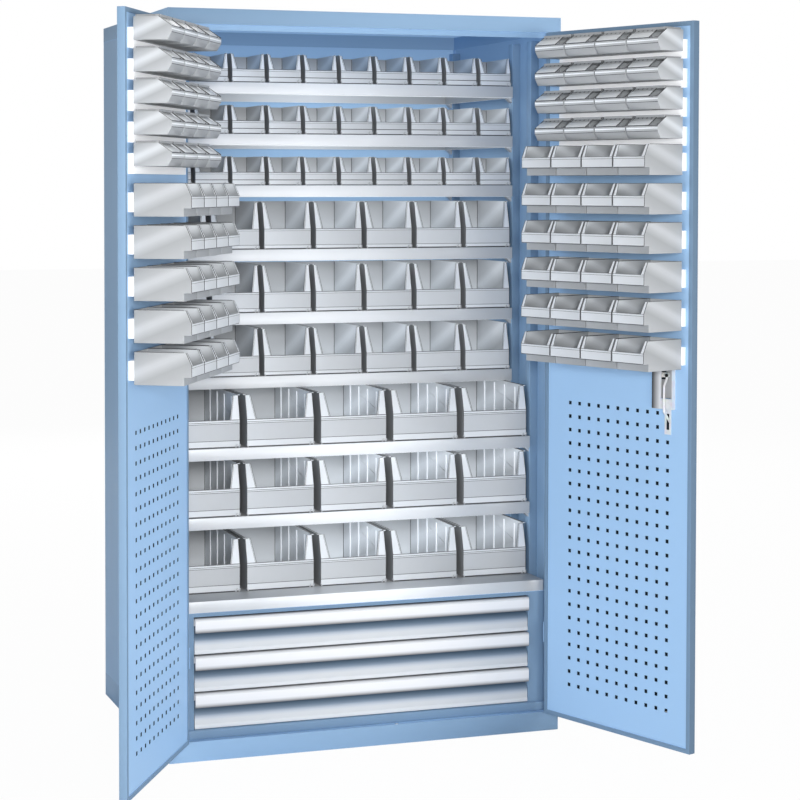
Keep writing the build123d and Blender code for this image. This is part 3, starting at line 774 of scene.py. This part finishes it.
def binCheek(kind, side, sign):
    # one side of the sloped opening: two dark strips as painted shade in its grooves, a dark strip as painted
    # shade along its border, and a dark bar as painted shadow in the back corner
    deep, high, low, wall = kind["deep"], kind["high"], kind["front"], rowLayout["wall"]
    edge = deep - kind["slope"]
    foot, head = side + sign * kind["foot"], side + sign * kind["head"]
    parts = []
    for place, width in ((foot, 1.0), (foot - sign * 2.6, 0.7)):
        start, end = (place + head - foot, -edge - 0.4, high), (place, 0.4 - deep, low)
        parts.append(strip(start, end, (sign * width, 0, 0), (0, 0.6, 0), binTones["line"]))
    outline = [(-deep - 0.1, 1.0), (-deep - 0.1, low), (-edge - 0.3, high)]
    outline += [(1.0 - edge, high), (1.2 - deep, low), (1.2 - deep, 1.0)]
    parts.append(plainTone(prism("border", outline, "yz", side - 0.6, side + 0.5), binTones["border"]))
    corner = sorted((side + sign * wall, side + sign * (wall + 1.0)))
    parts.append(bar(corner, (-wall - 1.0, -wall), (wall, high), binTones["corner"]))
    return parts


# Ribs on the inner side walls, painted light as highlights
def binSideRibs(high, left, right):
    ribs = binRibs
    rib = bar((0.0, ribs["wide"]), (-ribs["deep"], 0.0), (ribs["foot"], high - ribs["drop"]), ribs["tone"])
    rows = []
    for start in (left + ribs["inset"], right - ribs["inset"] - ribs["wide"]):
        first, step = (start, -ribs["first"], 0.0), (0.0, -ribs["pitch"], 0.0)
        rows.append(gridded(rib.copy(), "bin_grey", ribs["count"], first, step))
    return rows


def binRimTeeth(high, edge, wide):
    teeth = binTeeth
    rise = (high - teeth["rise"], high + teeth["rise"])
    tooth = bar((0.0, teeth["wide"]), (-teeth["deep"], 0.0), rise, teeth["tone"])
    count = int((edge - 20.0) / teeth["pitch"])
    rows = []
    for start in (teeth["inset"], wide - teeth["inset"] - teeth["wide"]):
        first, step = (start, -teeth["first"], 0.0), (0.0, -teeth["pitch"], 0.0)
        rows.append(gridded(tooth.copy(), "bin_grey", count, first, step))
    return rows


def binLabelHooks(deep, left, right):
    hook = prism("hook", binHook["outline"], "xz", binHook["back"] - deep, binHook["front"] - deep)
    hooks = []
    for place, flip in ((left + 1.0, 1), (right - 1.0, -1), (right - 10.0, -1)):
        bent = hook.copy()
        bent.transform(Matrix.Translation((place, 0, 0)) @ Matrix.Scale(flip, 4, (1, 0, 0)))
        if flip < 0:
            bent.flip_normals()
        hooks.append(plainTone(bent, binHook["tone"]))
    return hooks


def shelfBinShape(name):
    kind, bands = shelfBins[name], binBands[name]
    wide = 2 * rowLayout["half"] / kind["count"] - rowLayout["gap"]
    deep, high, low, inset = kind["deep"], kind["high"], kind["front"], kind["inset"]
    edge = deep - kind["slope"]
    left, right = inset, wide - inset
    profile = [(0.0, 0.0), (0.0, high), (-edge, high)] + bandProfile(bands, deep, low)
    extra, parts = [], []
    for side, sign in ((left, 1), (right, -1)):
        foot, head = side + sign * kind["foot"], side + sign * kind["head"]
        lip = 1.0 - deep
        extra.append([(side, -edge, high), (head, -edge, high), (foot, lip, low), (side, lip, low)])
        rim = side - sign * inset
        extra.append([(side, 0.0, high), (side, -edge, high), (rim, -edge, high), (rim, 0.0, high)])
        parts += binCheek(kind, side, sign)
    shell = shellMesh("shelfBin", left, right, profile, skip=(1, 2), extra=extra)
    shell = thickened(outwards(shell, (wide / 2, -deep / 2, low / 2)), rowLayout["wall"], 0.4)
    parts.append(setTone(shell, shelfBinTone(kind, bands, wide)))
    if name == binRibs["kind"]:
        parts += binSideRibs(high, left, right)
    parts += binRimTeeth(high, edge, wide)
    parts += binLabelHooks(deep, left, right)
    return markSpots(joined("shelfBin", parts), wide, deep, high)


def binSpots(kind, level, front):
    pitch = 2 * rowLayout["half"] / kind["count"]
    y = front + rowLayout["setback"] + kind["deep"]
    first = rowLayout["gap"] / 2 - rowLayout["half"]
    return [(first + i * pitch, y, level + rowLayout["lift"]) for i in range(kind["count"])]


def addShelfBins(name):
    kind, rows = shelfBins[name], shelfRows[name]
    shape = shelfBinShape(name)
    spots = []
    for level in rows["levels"]:
        spots += binSpots(kind, level, rows["front"])
    looseSpot = spots.pop(rows["loose"])
    row = scattered(shape.copy(), spots, "bin_grey")
    addPiece(f"{name}ShelfBins", row, "bin_grey", "cabinet", (f"{name}_shelf_bins",))
    loose = scattered(shape.copy(), [looseSpot], "bin_grey")
    body, node = f"{name}_shelf_bin", f"loose_{name}_shelf_bin"
    addPiece(f"loose{name.title()}ShelfBin", loose, "bin_grey", body, (node,))
    print("shelf bins:", name, len(spots) + 1, "with", len(shape.polygons), "faces each")


for binName in shelfBins:
    addShelfBins(binName)


# Bins that hang on the doors
doorRows = dict(first=61.0, length=436.0, count=4, gap=3.0, lift=0.3, railT=31.5)
tray = dict(
    deep=93.0, high=54.0, roof=60.0, nose=32.0, chamfer=11.0, plate=0.70, lid=0.42,
    tab=8.0, tabHigh=6.0, dots=4, dotPitch=15.0, top=1832.0, pitch=73.0, loose=1,
)
# A tray's nose is a stack of bands: height, set-back and tone, where the tone paints a highlight band and
# dark lines of shade at its edges
trayBands = ((1.6, 0.8, 0.08), (3.6, 0.0, 0.95), (3.4, 0.2, 1.75), (5.0, 0.0, 1.0), (1.4, 0.8, 0.10))
# Painted light and shade on the trays: light bands on their ends and inner sides, lighter insides, darker
# undersides, fronts and label plates that darken across their width, and dark lines as painted shade along
# the slope and the lid's edge
trayTones = dict(
    outside=1.05, inside=1.5, back=1.3, under=0.75, front=1.1, frontFall=0.25, other=0.6,
    plate=1.5, plateFall=0.3, lid=0.72, tab=0.62, collar=0.7, collarEnd=0.5, line=0.08,
)
tub = dict(
    deep=140.0, high=77.0, slope=14.0, front=47.0, step=19.0, back=19.0, cheek=11.0,
    first=1031.0, pitch=98.0, loose=2,
)
# A tub's front is a stack of bands: height, set-back and tone, where the tone paints lighter bands and dark
# lines of shade between them
tubBands = ((1.2, 0.8, 0.25), (4.0, 0.0, 1.3), (1.0, 0.8, 0.3), (20.2, 0.2, 1.25), (1.6, 1.0, 0.14))
# Painted light and shade on the tubs: light bands on their ends and inner sides, lighter insides and slopes,
# a dark rim, feet and fronts that darken across their width, dark undersides, and dark strips as painted
# shade along the cheeks, borders and rims
tubTones = dict(
    outside=0.88, outsideLight=0.8, inside=1.3, rim=0.2, ramp=1.34, back=1.1, foot=0.78, footFall=0.15,
    front=1.06, frontFall=0.16, under=0.4, other=0.7, border=0.07, line=0.10, rimLine=0.08,
)
rowsOnDoor = {-1: (5, 5), 1: (4, 6)}
doorBinWide = doorRows["length"] / doorRows["count"] - doorRows["gap"]


def ringWall(outline, low, high, wall):
    # an upright wall round an outline of (x, y) points
    count = len(outline)
    points = [(x, y, low) for x, y in outline] + [(x, y, high) for x, y in outline]
    faces = [(i, (i + 1) % count, (i + 1) % count + count, i + count) for i in range(count)]
    middle = (sum(x for x, y in outline) / count, sum(y for x, y in outline) / count, (low + high) / 2)
    return thickened(outwards(meshFrom("ring", points, faces), middle), wall, 0.4)


# The painted light and shade of each face of a tray, from trayTones
def trayTone(spot, normal, middle):
    if abs(normal.x) > facing:
        outside = normal.x * (middle.x - doorBinWide / 2) > 0
        return (trayTones["outside"], 1.0) if outside else (trayTones["inside"], 1.0)
    if normal.y < -facing and middle.y > -10.0:
        return trayTones["back"]
    if normal.z < -0.3:
        return trayTones["under"]
    if normal.y < -facing and middle.y < 4.0 - tray["deep"]:
        across = trayTones["front"] - trayTones["frontFall"] * spot.x / doorBinWide
        return bandTone(trayBands, tray["nose"], middle.z) * across
    return trayTones["other"]


# the label plate is painted light and fades across its width, as painted light
def plateTone(spot, normal, middle):
    return trayTones["plate"] - trayTones["plateFall"] * spot.x / doorBinWide


def collarTone(spot, normal, middle):
    return trayTones["collarEnd"] if abs(normal.x) > 0.6 else trayTones["collar"]


def trayDots(dot, first):
    return gridded(dot, "bin_grey", tray["dots"], (first, 0.0, 0.0), (tray["dotPitch"], 0.0, 0.0))


def trayCovers(plateWide):
    # the sloped front: a pale plate below, with painted light that fades across it, a darker lid above it
    # with a row of dots, all tilted together
    run, drop = tray["deep"] - tray["roof"], tray["high"] - tray["nose"]
    length = math.hypot(run, drop) - 4.0
    split = length * tray["lid"]
    plate = setTone(rounded(block((2.6, plateWide), (-1.2, 1.2), (split, length)), 0.5), plateTone)
    lid = rounded(block((5.0, plateWide - 2.0), (-1.6, 1.6), (0.0, split - 0.8)), 0.5)
    dot = bar((0.0, 3.0), (-1.9, 1.9), (split * 0.3, split * 0.62), trayTones["line"])
    lean = Matrix.Rotation(math.radians(90) + math.atan2(drop, run), 4, "X")
    tilt = Matrix.Translation((0, -tray["roof"] - 0.6, tray["high"] - 0.4)) @ lean
    covers = [plate, plainTone(lid, trayTones["lid"]), trayDots(dot, 16.0)]
    for cover in covers:
        cover.transform(tilt)
    return covers


def trayTab(plateWide):
    # the standing tab with its grip dots
    foot, top, roof = tray["high"], tray["high"] + tray["tabHigh"], tray["roof"]
    across, deep = (3.0, plateWide - 1.0), (-roof - 1.0, tray["tab"] - roof)
    tab = rounded(block(across, deep, (foot - 1.0, top - 0.8)), 1.0)
    grip = bar((-1.2, 1.2), (-0.6, 0.4), (foot + 0.4, top - 1.6), trayTones["line"])
    return [plainTone(tab, trayTones["tab"]), trayDots(moved(grip, (0, -roof - 1.2, 0)), 14.0)]


def trayShape():
    wide, line = doorBinWide, trayTones["line"]
    deep, high, roof, nose = tray["deep"], tray["high"], tray["roof"], tray["nose"]
    plateWide = wide * tray["plate"]
    profile = [(0.0, 0.0), (0.0, high), (-roof, high)]
    profile += bandProfile(trayBands, deep, nose) + [(tray["chamfer"] - deep, 0.0)]
    shell = shellMesh("tray", 0.6, wide - 0.6, profile, skip=(1, 2))
    shell = thickened(outwards(shell, (wide / 2, -deep / 2, 10.0)), rowLayout["wall"], 0.4)
    parts = [setTone(shell, trayTone)] + trayCovers(plateWide)
    # dark strips as painted shade along both ends of the slope and the plate's edge, and a dark bar as
    # painted shade along the top of the slope
    for place, width in ((0.7, 1.0), (plateWide, 1.4), (wide - 1.9, 1.2)):
        start, end = (place, -roof - 1.0, high + 0.5), (place, 0.6 - deep, nose + 1.2)
        parts.append(strip(start, end, (width, 0, 0), (0, 0.8, -1.2), line))
    parts += trayTab(plateWide)
    parts.append(bar((3.0, wide - 3.0), (-roof - 1.4, -roof - 0.6), (high - 0.2, high + 0.8), line))
    outline = [(4.0, -roof - 3.0), (wide - 4.0, -roof - 3.0), (wide - 4.0, -4.0), (4.0, -4.0)]
    collar = ringWall(outline, high - 2.0, high + tray["tabHigh"] - 1.0, 1.6)
    parts.append(setTone(collar, collarTone))
    return markSpots(joined("tray", parts), wide, deep, high)


# The painted light and shade of each face of a tub, from tubTones
def tubTone(spot, normal, middle):
    deep, high, low, step = tub["deep"], tub["high"], tub["front"], tub["step"]
    fromFront, across = middle.y + deep, spot.x / doorBinWide
    if abs(normal.x) > facing:
        outside = normal.x * (middle.x - doorBinWide / 2) > 0
        return (tubTones["outside"], tubTones["outsideLight"]) if outside else (tubTones["inside"], 1.0)
    if normal.z > facing and middle.z > high - 3.0:
        return tubTones["rim"]
    if fromFront < tub["slope"] + 4.0 and middle.z > low and normal.y < -0.2:
        return tubTones["ramp"]
    if normal.y < -facing and middle.y > -10.0:
        return tubTones["back"]
    if normal.y < -facing and middle.z < step and fromFront < tub["back"] + 2.5:
        return tubTones["foot"] - tubTones["footFall"] * across
    if normal.y < -facing and fromFront < 3.0:
        return bandTone(tubBands, low, middle.z) * (tubTones["front"] - tubTones["frontFall"] * across)
    return tubTones["under"] if normal.z < -facing else tubTones["other"]


def tubShape():
    wide, wall = doorBinWide, rowLayout["wall"]
    deep, high, low, step = tub["deep"], tub["high"], tub["front"], tub["step"]
    edge, foot = deep - tub["slope"], deep - tub["back"]
    profile = [(0.0, 0.0), (0.0, high), (-edge, high)]
    profile += bandProfile(tubBands, deep, low) + [(-foot, step), (-foot, 0.0)]
    left, right = 0.6, wide - 0.6
    extra, parts = [], []
    for side, sign in ((left, 1), (right, -1)):
        inner = side + sign * tub["cheek"]
        head = inner - sign * 3.0
        lip = 0.8 - deep
        extra.append([(side, -edge, high), (head, -edge, high), (inner, lip, low), (side, lip, low)])
        # dark strips as painted shade along the cheek's groove, the border and the rim
        start, end = (head, -edge - 0.4, high), (inner, 0.2 - deep, low)
        parts.append(strip(start, end, (-sign * 1.0, 0, 0), (0, 0.6, 0), tubTones["line"]))
        outline = [(0.2 - deep, step + 2.0), (0.2 - deep, low), (-edge - 0.3, high)]
        outline += [(1.0 - edge, high), (1.2 - deep, low), (1.2 - deep, step + 2.0)]
        parts.append(plainTone(prism("border", outline, "yz", side - 0.5, side + 0.6), tubTones["border"]))
        rim = sorted((side - sign * 0.2, side + sign * 1.4))
        parts.append(bar(rim, (6.0 - edge, 0.0), (high, high + 0.8), tubTones["rimLine"]))
    shell = shellMesh("tub", left, right, profile, skip=(1, 2), extra=extra)
    shell = thickened(outwards(shell, (wide / 2, -deep / 2, 20.0)), wall, 0.4)
    parts.append(setTone(shell, tubTone))
    return markSpots(joined("tub", parts), wide, deep, high)


def doorSpots(side, level):
    pitch = doorRows["length"] / doorRows["count"]
    y = cabinet["front"] + doorRows["railT"] + doorRows["lift"]
    spots = []
    for i in range(doorRows["count"]):
        u = doorRows["first"] + i * pitch + doorRows["gap"] / 2
        spots.append((max(doorX(side, u), doorX(side, u + doorBinWide)), y, level))
    return spots


def addDoorBins(side, name, shape, levels, looseIndex):
    # on the right door one bin of each kind slides out, and is a piece of its own
    spots = [spot for level in levels for spot in doorSpots(side, level)]
    hand, title = sideName[side], name.title()
    body = f"{hand}_door"
    groups = [(f"{hand}{title}DoorBins", spots, body, f"{hand}_{name}_door_bins")]
    if side > 0:
        loose = [spots.pop(looseIndex)]
        groups.append((f"loose{title}DoorBin", loose, f"{name}_door_bin", f"loose_{name}_door_bin"))
    for pieceName, places, rider, node in groups:
        mesh = scattered(shape.copy(), places, "bin_grey", (0.0, 0.0, math.pi))
        mesh.transform(doorSwing(side))
        addPiece(pieceName, mesh, "bin_grey", rider, (node,))
    print("door bins:", body, name, len(levels), "rows")


trayMesh, tubMesh = trayShape(), tubShape()
for doorSide in (-1, 1):
    trayCount, tubCount = rowsOnDoor[doorSide]
    trayLevels = [tray["top"] - i * tray["pitch"] for i in range(trayCount)]
    tubLevels = [tub["first"] + i * tub["pitch"] for i in range(tubCount)]
    addDoorBins(doorSide, "small", trayMesh, trayLevels, tray["loose"])
    addDoorBins(doorSide, "large", tubMesh, tubLevels, tub["loose"])


# Perforated inner panels of the doors
panel = dict(
    edge=2.5, inner=18.0, wall=2.0, hole=9.5, face=1.24, rim=0.1,
    firstU=94.0, pitchU=34.5, columns=11, firstZ=150.0, pitchZ=36.3, rows=22,
)
lockWindow = dict(
    u=(399.5, 459.5), z=(952.0, 1035.0), slotU=(435.5, 445.5), slotZ=(872.0, 913.0), blankRows=2,
)


def holeTile():
    across, up, half = panel["pitchU"] / 2, panel["pitchZ"] / 2, panel["hole"] / 2
    outer = [(-across, -up), (-across, up), (across, up), (across, -up)]
    inner = [(-half, -half), (-half, half), (half, half), (half, -half)]
    points = [(x, 0.0, z) for x, z in outer + inner]
    return meshFrom("holeTile", points, [(i, (i + 1) % 4, (i + 1) % 4 + 4, i + 4) for i in range(4)])


def sheetCells(side, us, zs, closed):
    # a flat sheet on a net of u and z lines, without the cells that closed turns down
    points, faces = [], []
    y = cabinet["front"] + panel["inner"]
    for u0, u1 in zip(us, us[1:]):
        for z0, z1 in zip(zs, zs[1:]):
            if closed((u0 + u1) / 2, (z0 + z1) / 2):
                x0, x1 = sorted((doorX(side, u0), doorX(side, u1)))
                start = len(points)
                points += [(x0, y, z0), (x0, y, z1), (x1, y, z1), (x1, y, z0)]
                faces.append((start, start + 1, start + 2, start + 3))
    return meshFrom("sheet", points, faces)


def inSpan(value, span):
    return span[0] < value < span[1]


# the panel's face is painted lighter, and the walls of its holes near black, as painted shade inside the
# holes
def panelTone(spot, normal, middle):
    return panel["face"] if abs(normal.y) > 0.9 else panel["rim"]


def addInnerPanel(side):
    tileU = [panel["firstU"] + (i - 0.5) * panel["pitchU"] for i in range(panel["columns"] + 1)]
    tileZ = [panel["firstZ"] + (i - 0.5) * panel["pitchZ"] for i in range(panel["rows"] + 1)]
    us, zs = list(tileU), list(tileZ)
    us += [panel["edge"], cabinet["doorWidth"] - panel["edge"]]
    zs += [cabinet["doorLow"] + panel["edge"], cabinet["doorHigh"] - panel["edge"]]
    if side > 0:
        us += [*lockWindow["u"], *lockWindow["slotU"]]
        zs += [*lockWindow["z"], *lockWindow["slotZ"]]
    blankZ = tileZ[-1] - lockWindow["blankRows"] * panel["pitchZ"]

    def closed(u, z):
        if side > 0 and inSpan(u, lockWindow["u"]) and inSpan(z, lockWindow["z"]):
            return False
        if side > 0 and inSpan(u, lockWindow["slotU"]) and inSpan(z, lockWindow["slotZ"]):
            return False
        if side > 0 and u > tileU[-2] and z > blankZ:
            return True
        return not (inSpan(u, (tileU[0], tileU[-1])) and inSpan(z, (tileZ[0], tileZ[-1])))

    base = sheetCells(side, sorted(us), sorted(zs), closed)
    y = cabinet["front"] + panel["inner"]
    counts = [(panel["columns"], 0, panel["rows"])]
    if side > 0:
        full = panel["rows"] - lockWindow["blankRows"]
        counts = [(panel["columns"], 0, full), (panel["columns"] - 1, full, lockWindow["blankRows"])]
    for columns, firstRow, rows in counts:
        start = (doorX(side, panel["firstU"]), y, panel["firstZ"] + firstRow * panel["pitchZ"])
        step, rowStep = (-side * panel["pitchU"], 0.0, 0.0), (0.0, 0.0, panel["pitchZ"])
        base = gridded(holeTile(), "cabinet_blue", columns, start, step, rows, rowStep, base, 0.01)
    mesh = setTone(thickened(base, panel["wall"], 0.25), panelTone)
    mesh.transform(doorSwing(side))
    name = sideName[side]
    addPiece(f"{name}PerforatedPanel", mesh, "cabinet_blue", f"{name}_door", (f"{name}_door_inner_panel",))
    print("perforated panel:", name)


for doorSide in (-1, 1):
    addInnerPanel(doorSide)


# The lock's window is backed by a grey sheet with a hole for the spindle.
# A thin sheet over the cover carries painted shade, darkest on its hinge side
lockBack = dict(
    u=(400.0, 459.0), z=(952.5, 1034.5), y=(-363.6, -362.4), tone=0.55,
    holeU=(411.0, 434.0), holeZ=(1000.0, 1024.0),
)
lockShade = dict(u=(396.0, 423.0), z=(925.5, 1038.5), y=(-350.0, -349.6), least=0.01, rise=0.85)


def lockShadeTone(spot, normal, middle):
    near, far = lockShade["u"]
    return lockShade["least"] + lockShade["rise"] * (doorX(1, near) - spot.x) / (far - near)


def addLockDetail():
    left, right = lockBack["u"]
    holeLeft, holeRight = lockBack["holeU"]
    low, high = lockBack["z"]
    holeLow, holeHigh = lockBack["holeZ"]
    blocks = [((left, holeLeft), (low, high)), ((holeRight, right), (low, high))]
    blocks += [((holeLeft, holeRight), (low, holeLow)), ((holeLeft, holeRight), (holeHigh, high))]
    parts = []
    for across, up in blocks:
        parts.append(bar(sorted(doorX(1, u) for u in across), lockBack["y"], up, lockBack["tone"]))
    shaded = block(sorted(doorX(1, u) for u in lockShade["u"]), lockShade["y"], lockShade["z"])
    parts.append(setTone(shaded, lockShadeTone))
    mesh = joined("lockDetail", parts)
    mesh.transform(doorSwing(1))
    addPiece("lockDetail", mesh, "rail_white", "right_door")


addLockDetail()
print("lock detail added")


# Sheet metal pieces keep the shape of their CAD nodes, with folded edges rounded
def softCopy(node, width=0.9, segments=2):
    work = bmesh.new()
    work.from_mesh(frame["nodes"][node].data)
    bmesh.ops.remove_doubles(work, verts=work.verts, dist=0.00001)
    bmesh.ops.dissolve_limit(work, angle_limit=math.radians(0.5), verts=work.verts, edges=work.edges)
    mesh = bpy.data.meshes.new(node)
    work.to_mesh(mesh)
    work.free()
    mesh.transform(Matrix.Scale(1 / toMetres, 4))
    return rounded(mesh, width, segments)


def addFolded(node, slot, body, width=0.9, segments=2, rule=None):
    words = node.split("_")
    title = words[0] + "".join(word.title() for word in words[1:]) + "Folded"
    mesh = softCopy(node, width, segments)
    addPiece(title, setTone(mesh, rule) if rule else mesh, slot, body, (node,))


# Painted light and shade on the sheets, by the way that a face looks: each tone brightens or darkens a face,
# and a pair is a tone and a faint painted glow
capTones = dict(band=0.66, bandRise=0.34, under=(1.0, 0.45), stop=(0.8, 0.22), outside=1.15, other=1.0)
plinthTones = dict(front=1.02, frontFall=0.44, other=1.25)
sideTones = dict(post=0.74, inside=(0.95, 0.12), outside=1.4)
floorTones = dict(front=0.62, other=0.8)
frameTones = dict(left=0.92, right=0.60, other=1.0)
shelfTones = dict(under=(1.2, 1.0), top=0.64, edge=1.0, other=0.8)
skinTones = dict(insideFront=0.06, leftEdge=0.82, rightEdge=0.42, inside=0.62, other=1.1)
backTones = dict(inside=(0.85, 0.35), other=1.1)
uprightTones = dict(front=0.62, other=0.9)
railTones = (1.0, 0.3)


# the cap's front band is painted darker at the left and lighter to the right, and its underside glows
# faintly, as painted light and shade
def topCapTone(spot, normal, middle):
    if normal.y < -facing and middle.y < cabinet["front"] + 10.0:
        return capTones["band"] + capTones["bandRise"] * (spot.x / (2 * cabinet["half"]) + 0.5)
    if normal.z < -facing:
        return capTones["under"]
    if middle.z > 1940.0 or abs(normal.x) > facing:
        return capTones["outside"]
    return capTones["stop"] if normal.y < -facing else capTones["other"]


# the plinth's front is painted darker towards the right, as painted shade
def plinthTone(spot, normal, middle):
    if normal.y > -facing:
        return plinthTones["other"]
    return plinthTones["front"] - plinthTones["frontFall"] * (spot.x / (2 * cabinet["half"]) + 0.5)


# the side panels' insides glow faintly and their outsides are lightened, as painted light, and their front
# posts are painted darker
def sideTone(spot, normal, middle):
    if normal.y < -facing:
        return sideTones["post"]
    return sideTones["inside"] if normal.x * middle.x < 0 else sideTones["outside"]


# the floor panel's front is painted darker than the rest, as painted shade
def floorTone(spot, normal, middle):
    return floorTones["front"] if normal.y < -facing else floorTones["other"]


def frameTone(spot, normal, middle):
    # the front is painted darker on the right, as painted shade; the top sheet's front edge, which is higher
    # up, stays plain
    if normal.y < -facing and middle.z < 368.0:
        return frameTones["left"] if middle.x < 0 else frameTones["right"]
    return frameTones["other"]


# shelf undersides are lightened and glow faintly, and their tops are painted darker, as painted light and
# shade
def shelfTone(spot, normal, middle):
    if normal.z < -facing:
        return shelfTones["under"]
    if normal.z > facing:
        return shelfTones["top"]
    return shelfTones["edge"] if normal.y < -facing else shelfTones["other"]


# the skin's inside behind the holes is painted near black, as painted shade, and each door's free edge is
# painted darker, the right one most
def skinTone(side):
    back = doorSwing(side).inverted()
    turn = back.to_3x3()

    def rule(spot, normal, middle):
        way, place = turn @ normal, back @ middle
        if way.y > facing and place.y < cabinet["front"] + 10.0:
            return skinTones["insideFront"]
        if way.x * side < -facing:
            return skinTones[sideName[side] + "Edge"]
        return skinTones["inside"] if way.y > facing else skinTones["other"]

    return rule


# the back panel's inside glows faintly, as painted light
def backTone(spot, normal, middle):
    return backTones["inside"] if normal.y < -facing else backTones["other"]


# the uprights' fronts are painted darker, as painted shade
def uprightTone(spot, normal, middle):
    return uprightTones["front"] if normal.y < -facing else uprightTones["other"]


# the rails glow faintly, as painted light
def railTone(spot, normal, middle):
    return railTones


foldedNodes = {
    "plinth": plinthTone, "floor_panel": floorTone, "left_side_panel": sideTone, "right_side_panel": sideTone,
    "top_cap": topCapTone, "drawer_frame": frameTone, "back_panel": backTone,
}
for nodeName, toneRule in foldedNodes.items():
    addFolded(nodeName, "cabinet_blue", "cabinet", rule=toneRule)
addFolded("shelf_uprights", "cabinet_blue", "cabinet", 0.5, rule=uprightTone)
for nodeName in ("shallow_shelves", "deep_shelves", "drawer_cover_shelf"):
    addFolded(nodeName, "shelf_grey", "cabinet", rule=shelfTone)
for doorSide, name in sideName.items():
    addFolded(f"{name}_door_skin", "cabinet_blue", f"{name}_door", rule=skinTone(doorSide))
    addFolded(f"{name}_door_bin_rails", "rail_white", f"{name}_door", 0.6, rule=railTone)
for number in (1, 2, 3):
    addFolded(f"drawer_{number}_front", "drawer_grey", f"drawer_{number}", 0.5)
    addFolded(f"drawer_{number}_handle", "handle_aluminium", f"drawer_{number}", 0.7, 3)
print("sheet metal folded")


# What stays as CAD nodes gets its finish
slotOfNode = {part["node"]: part["material_slot"] for part in frame["record"]["subparts"]}
for nodeName, item in frame["nodes"].items():
    item.data.materials.clear()
    item.data.materials.append(finishes[slotOfNode[nodeName]])
print("carried-over nodes painted")
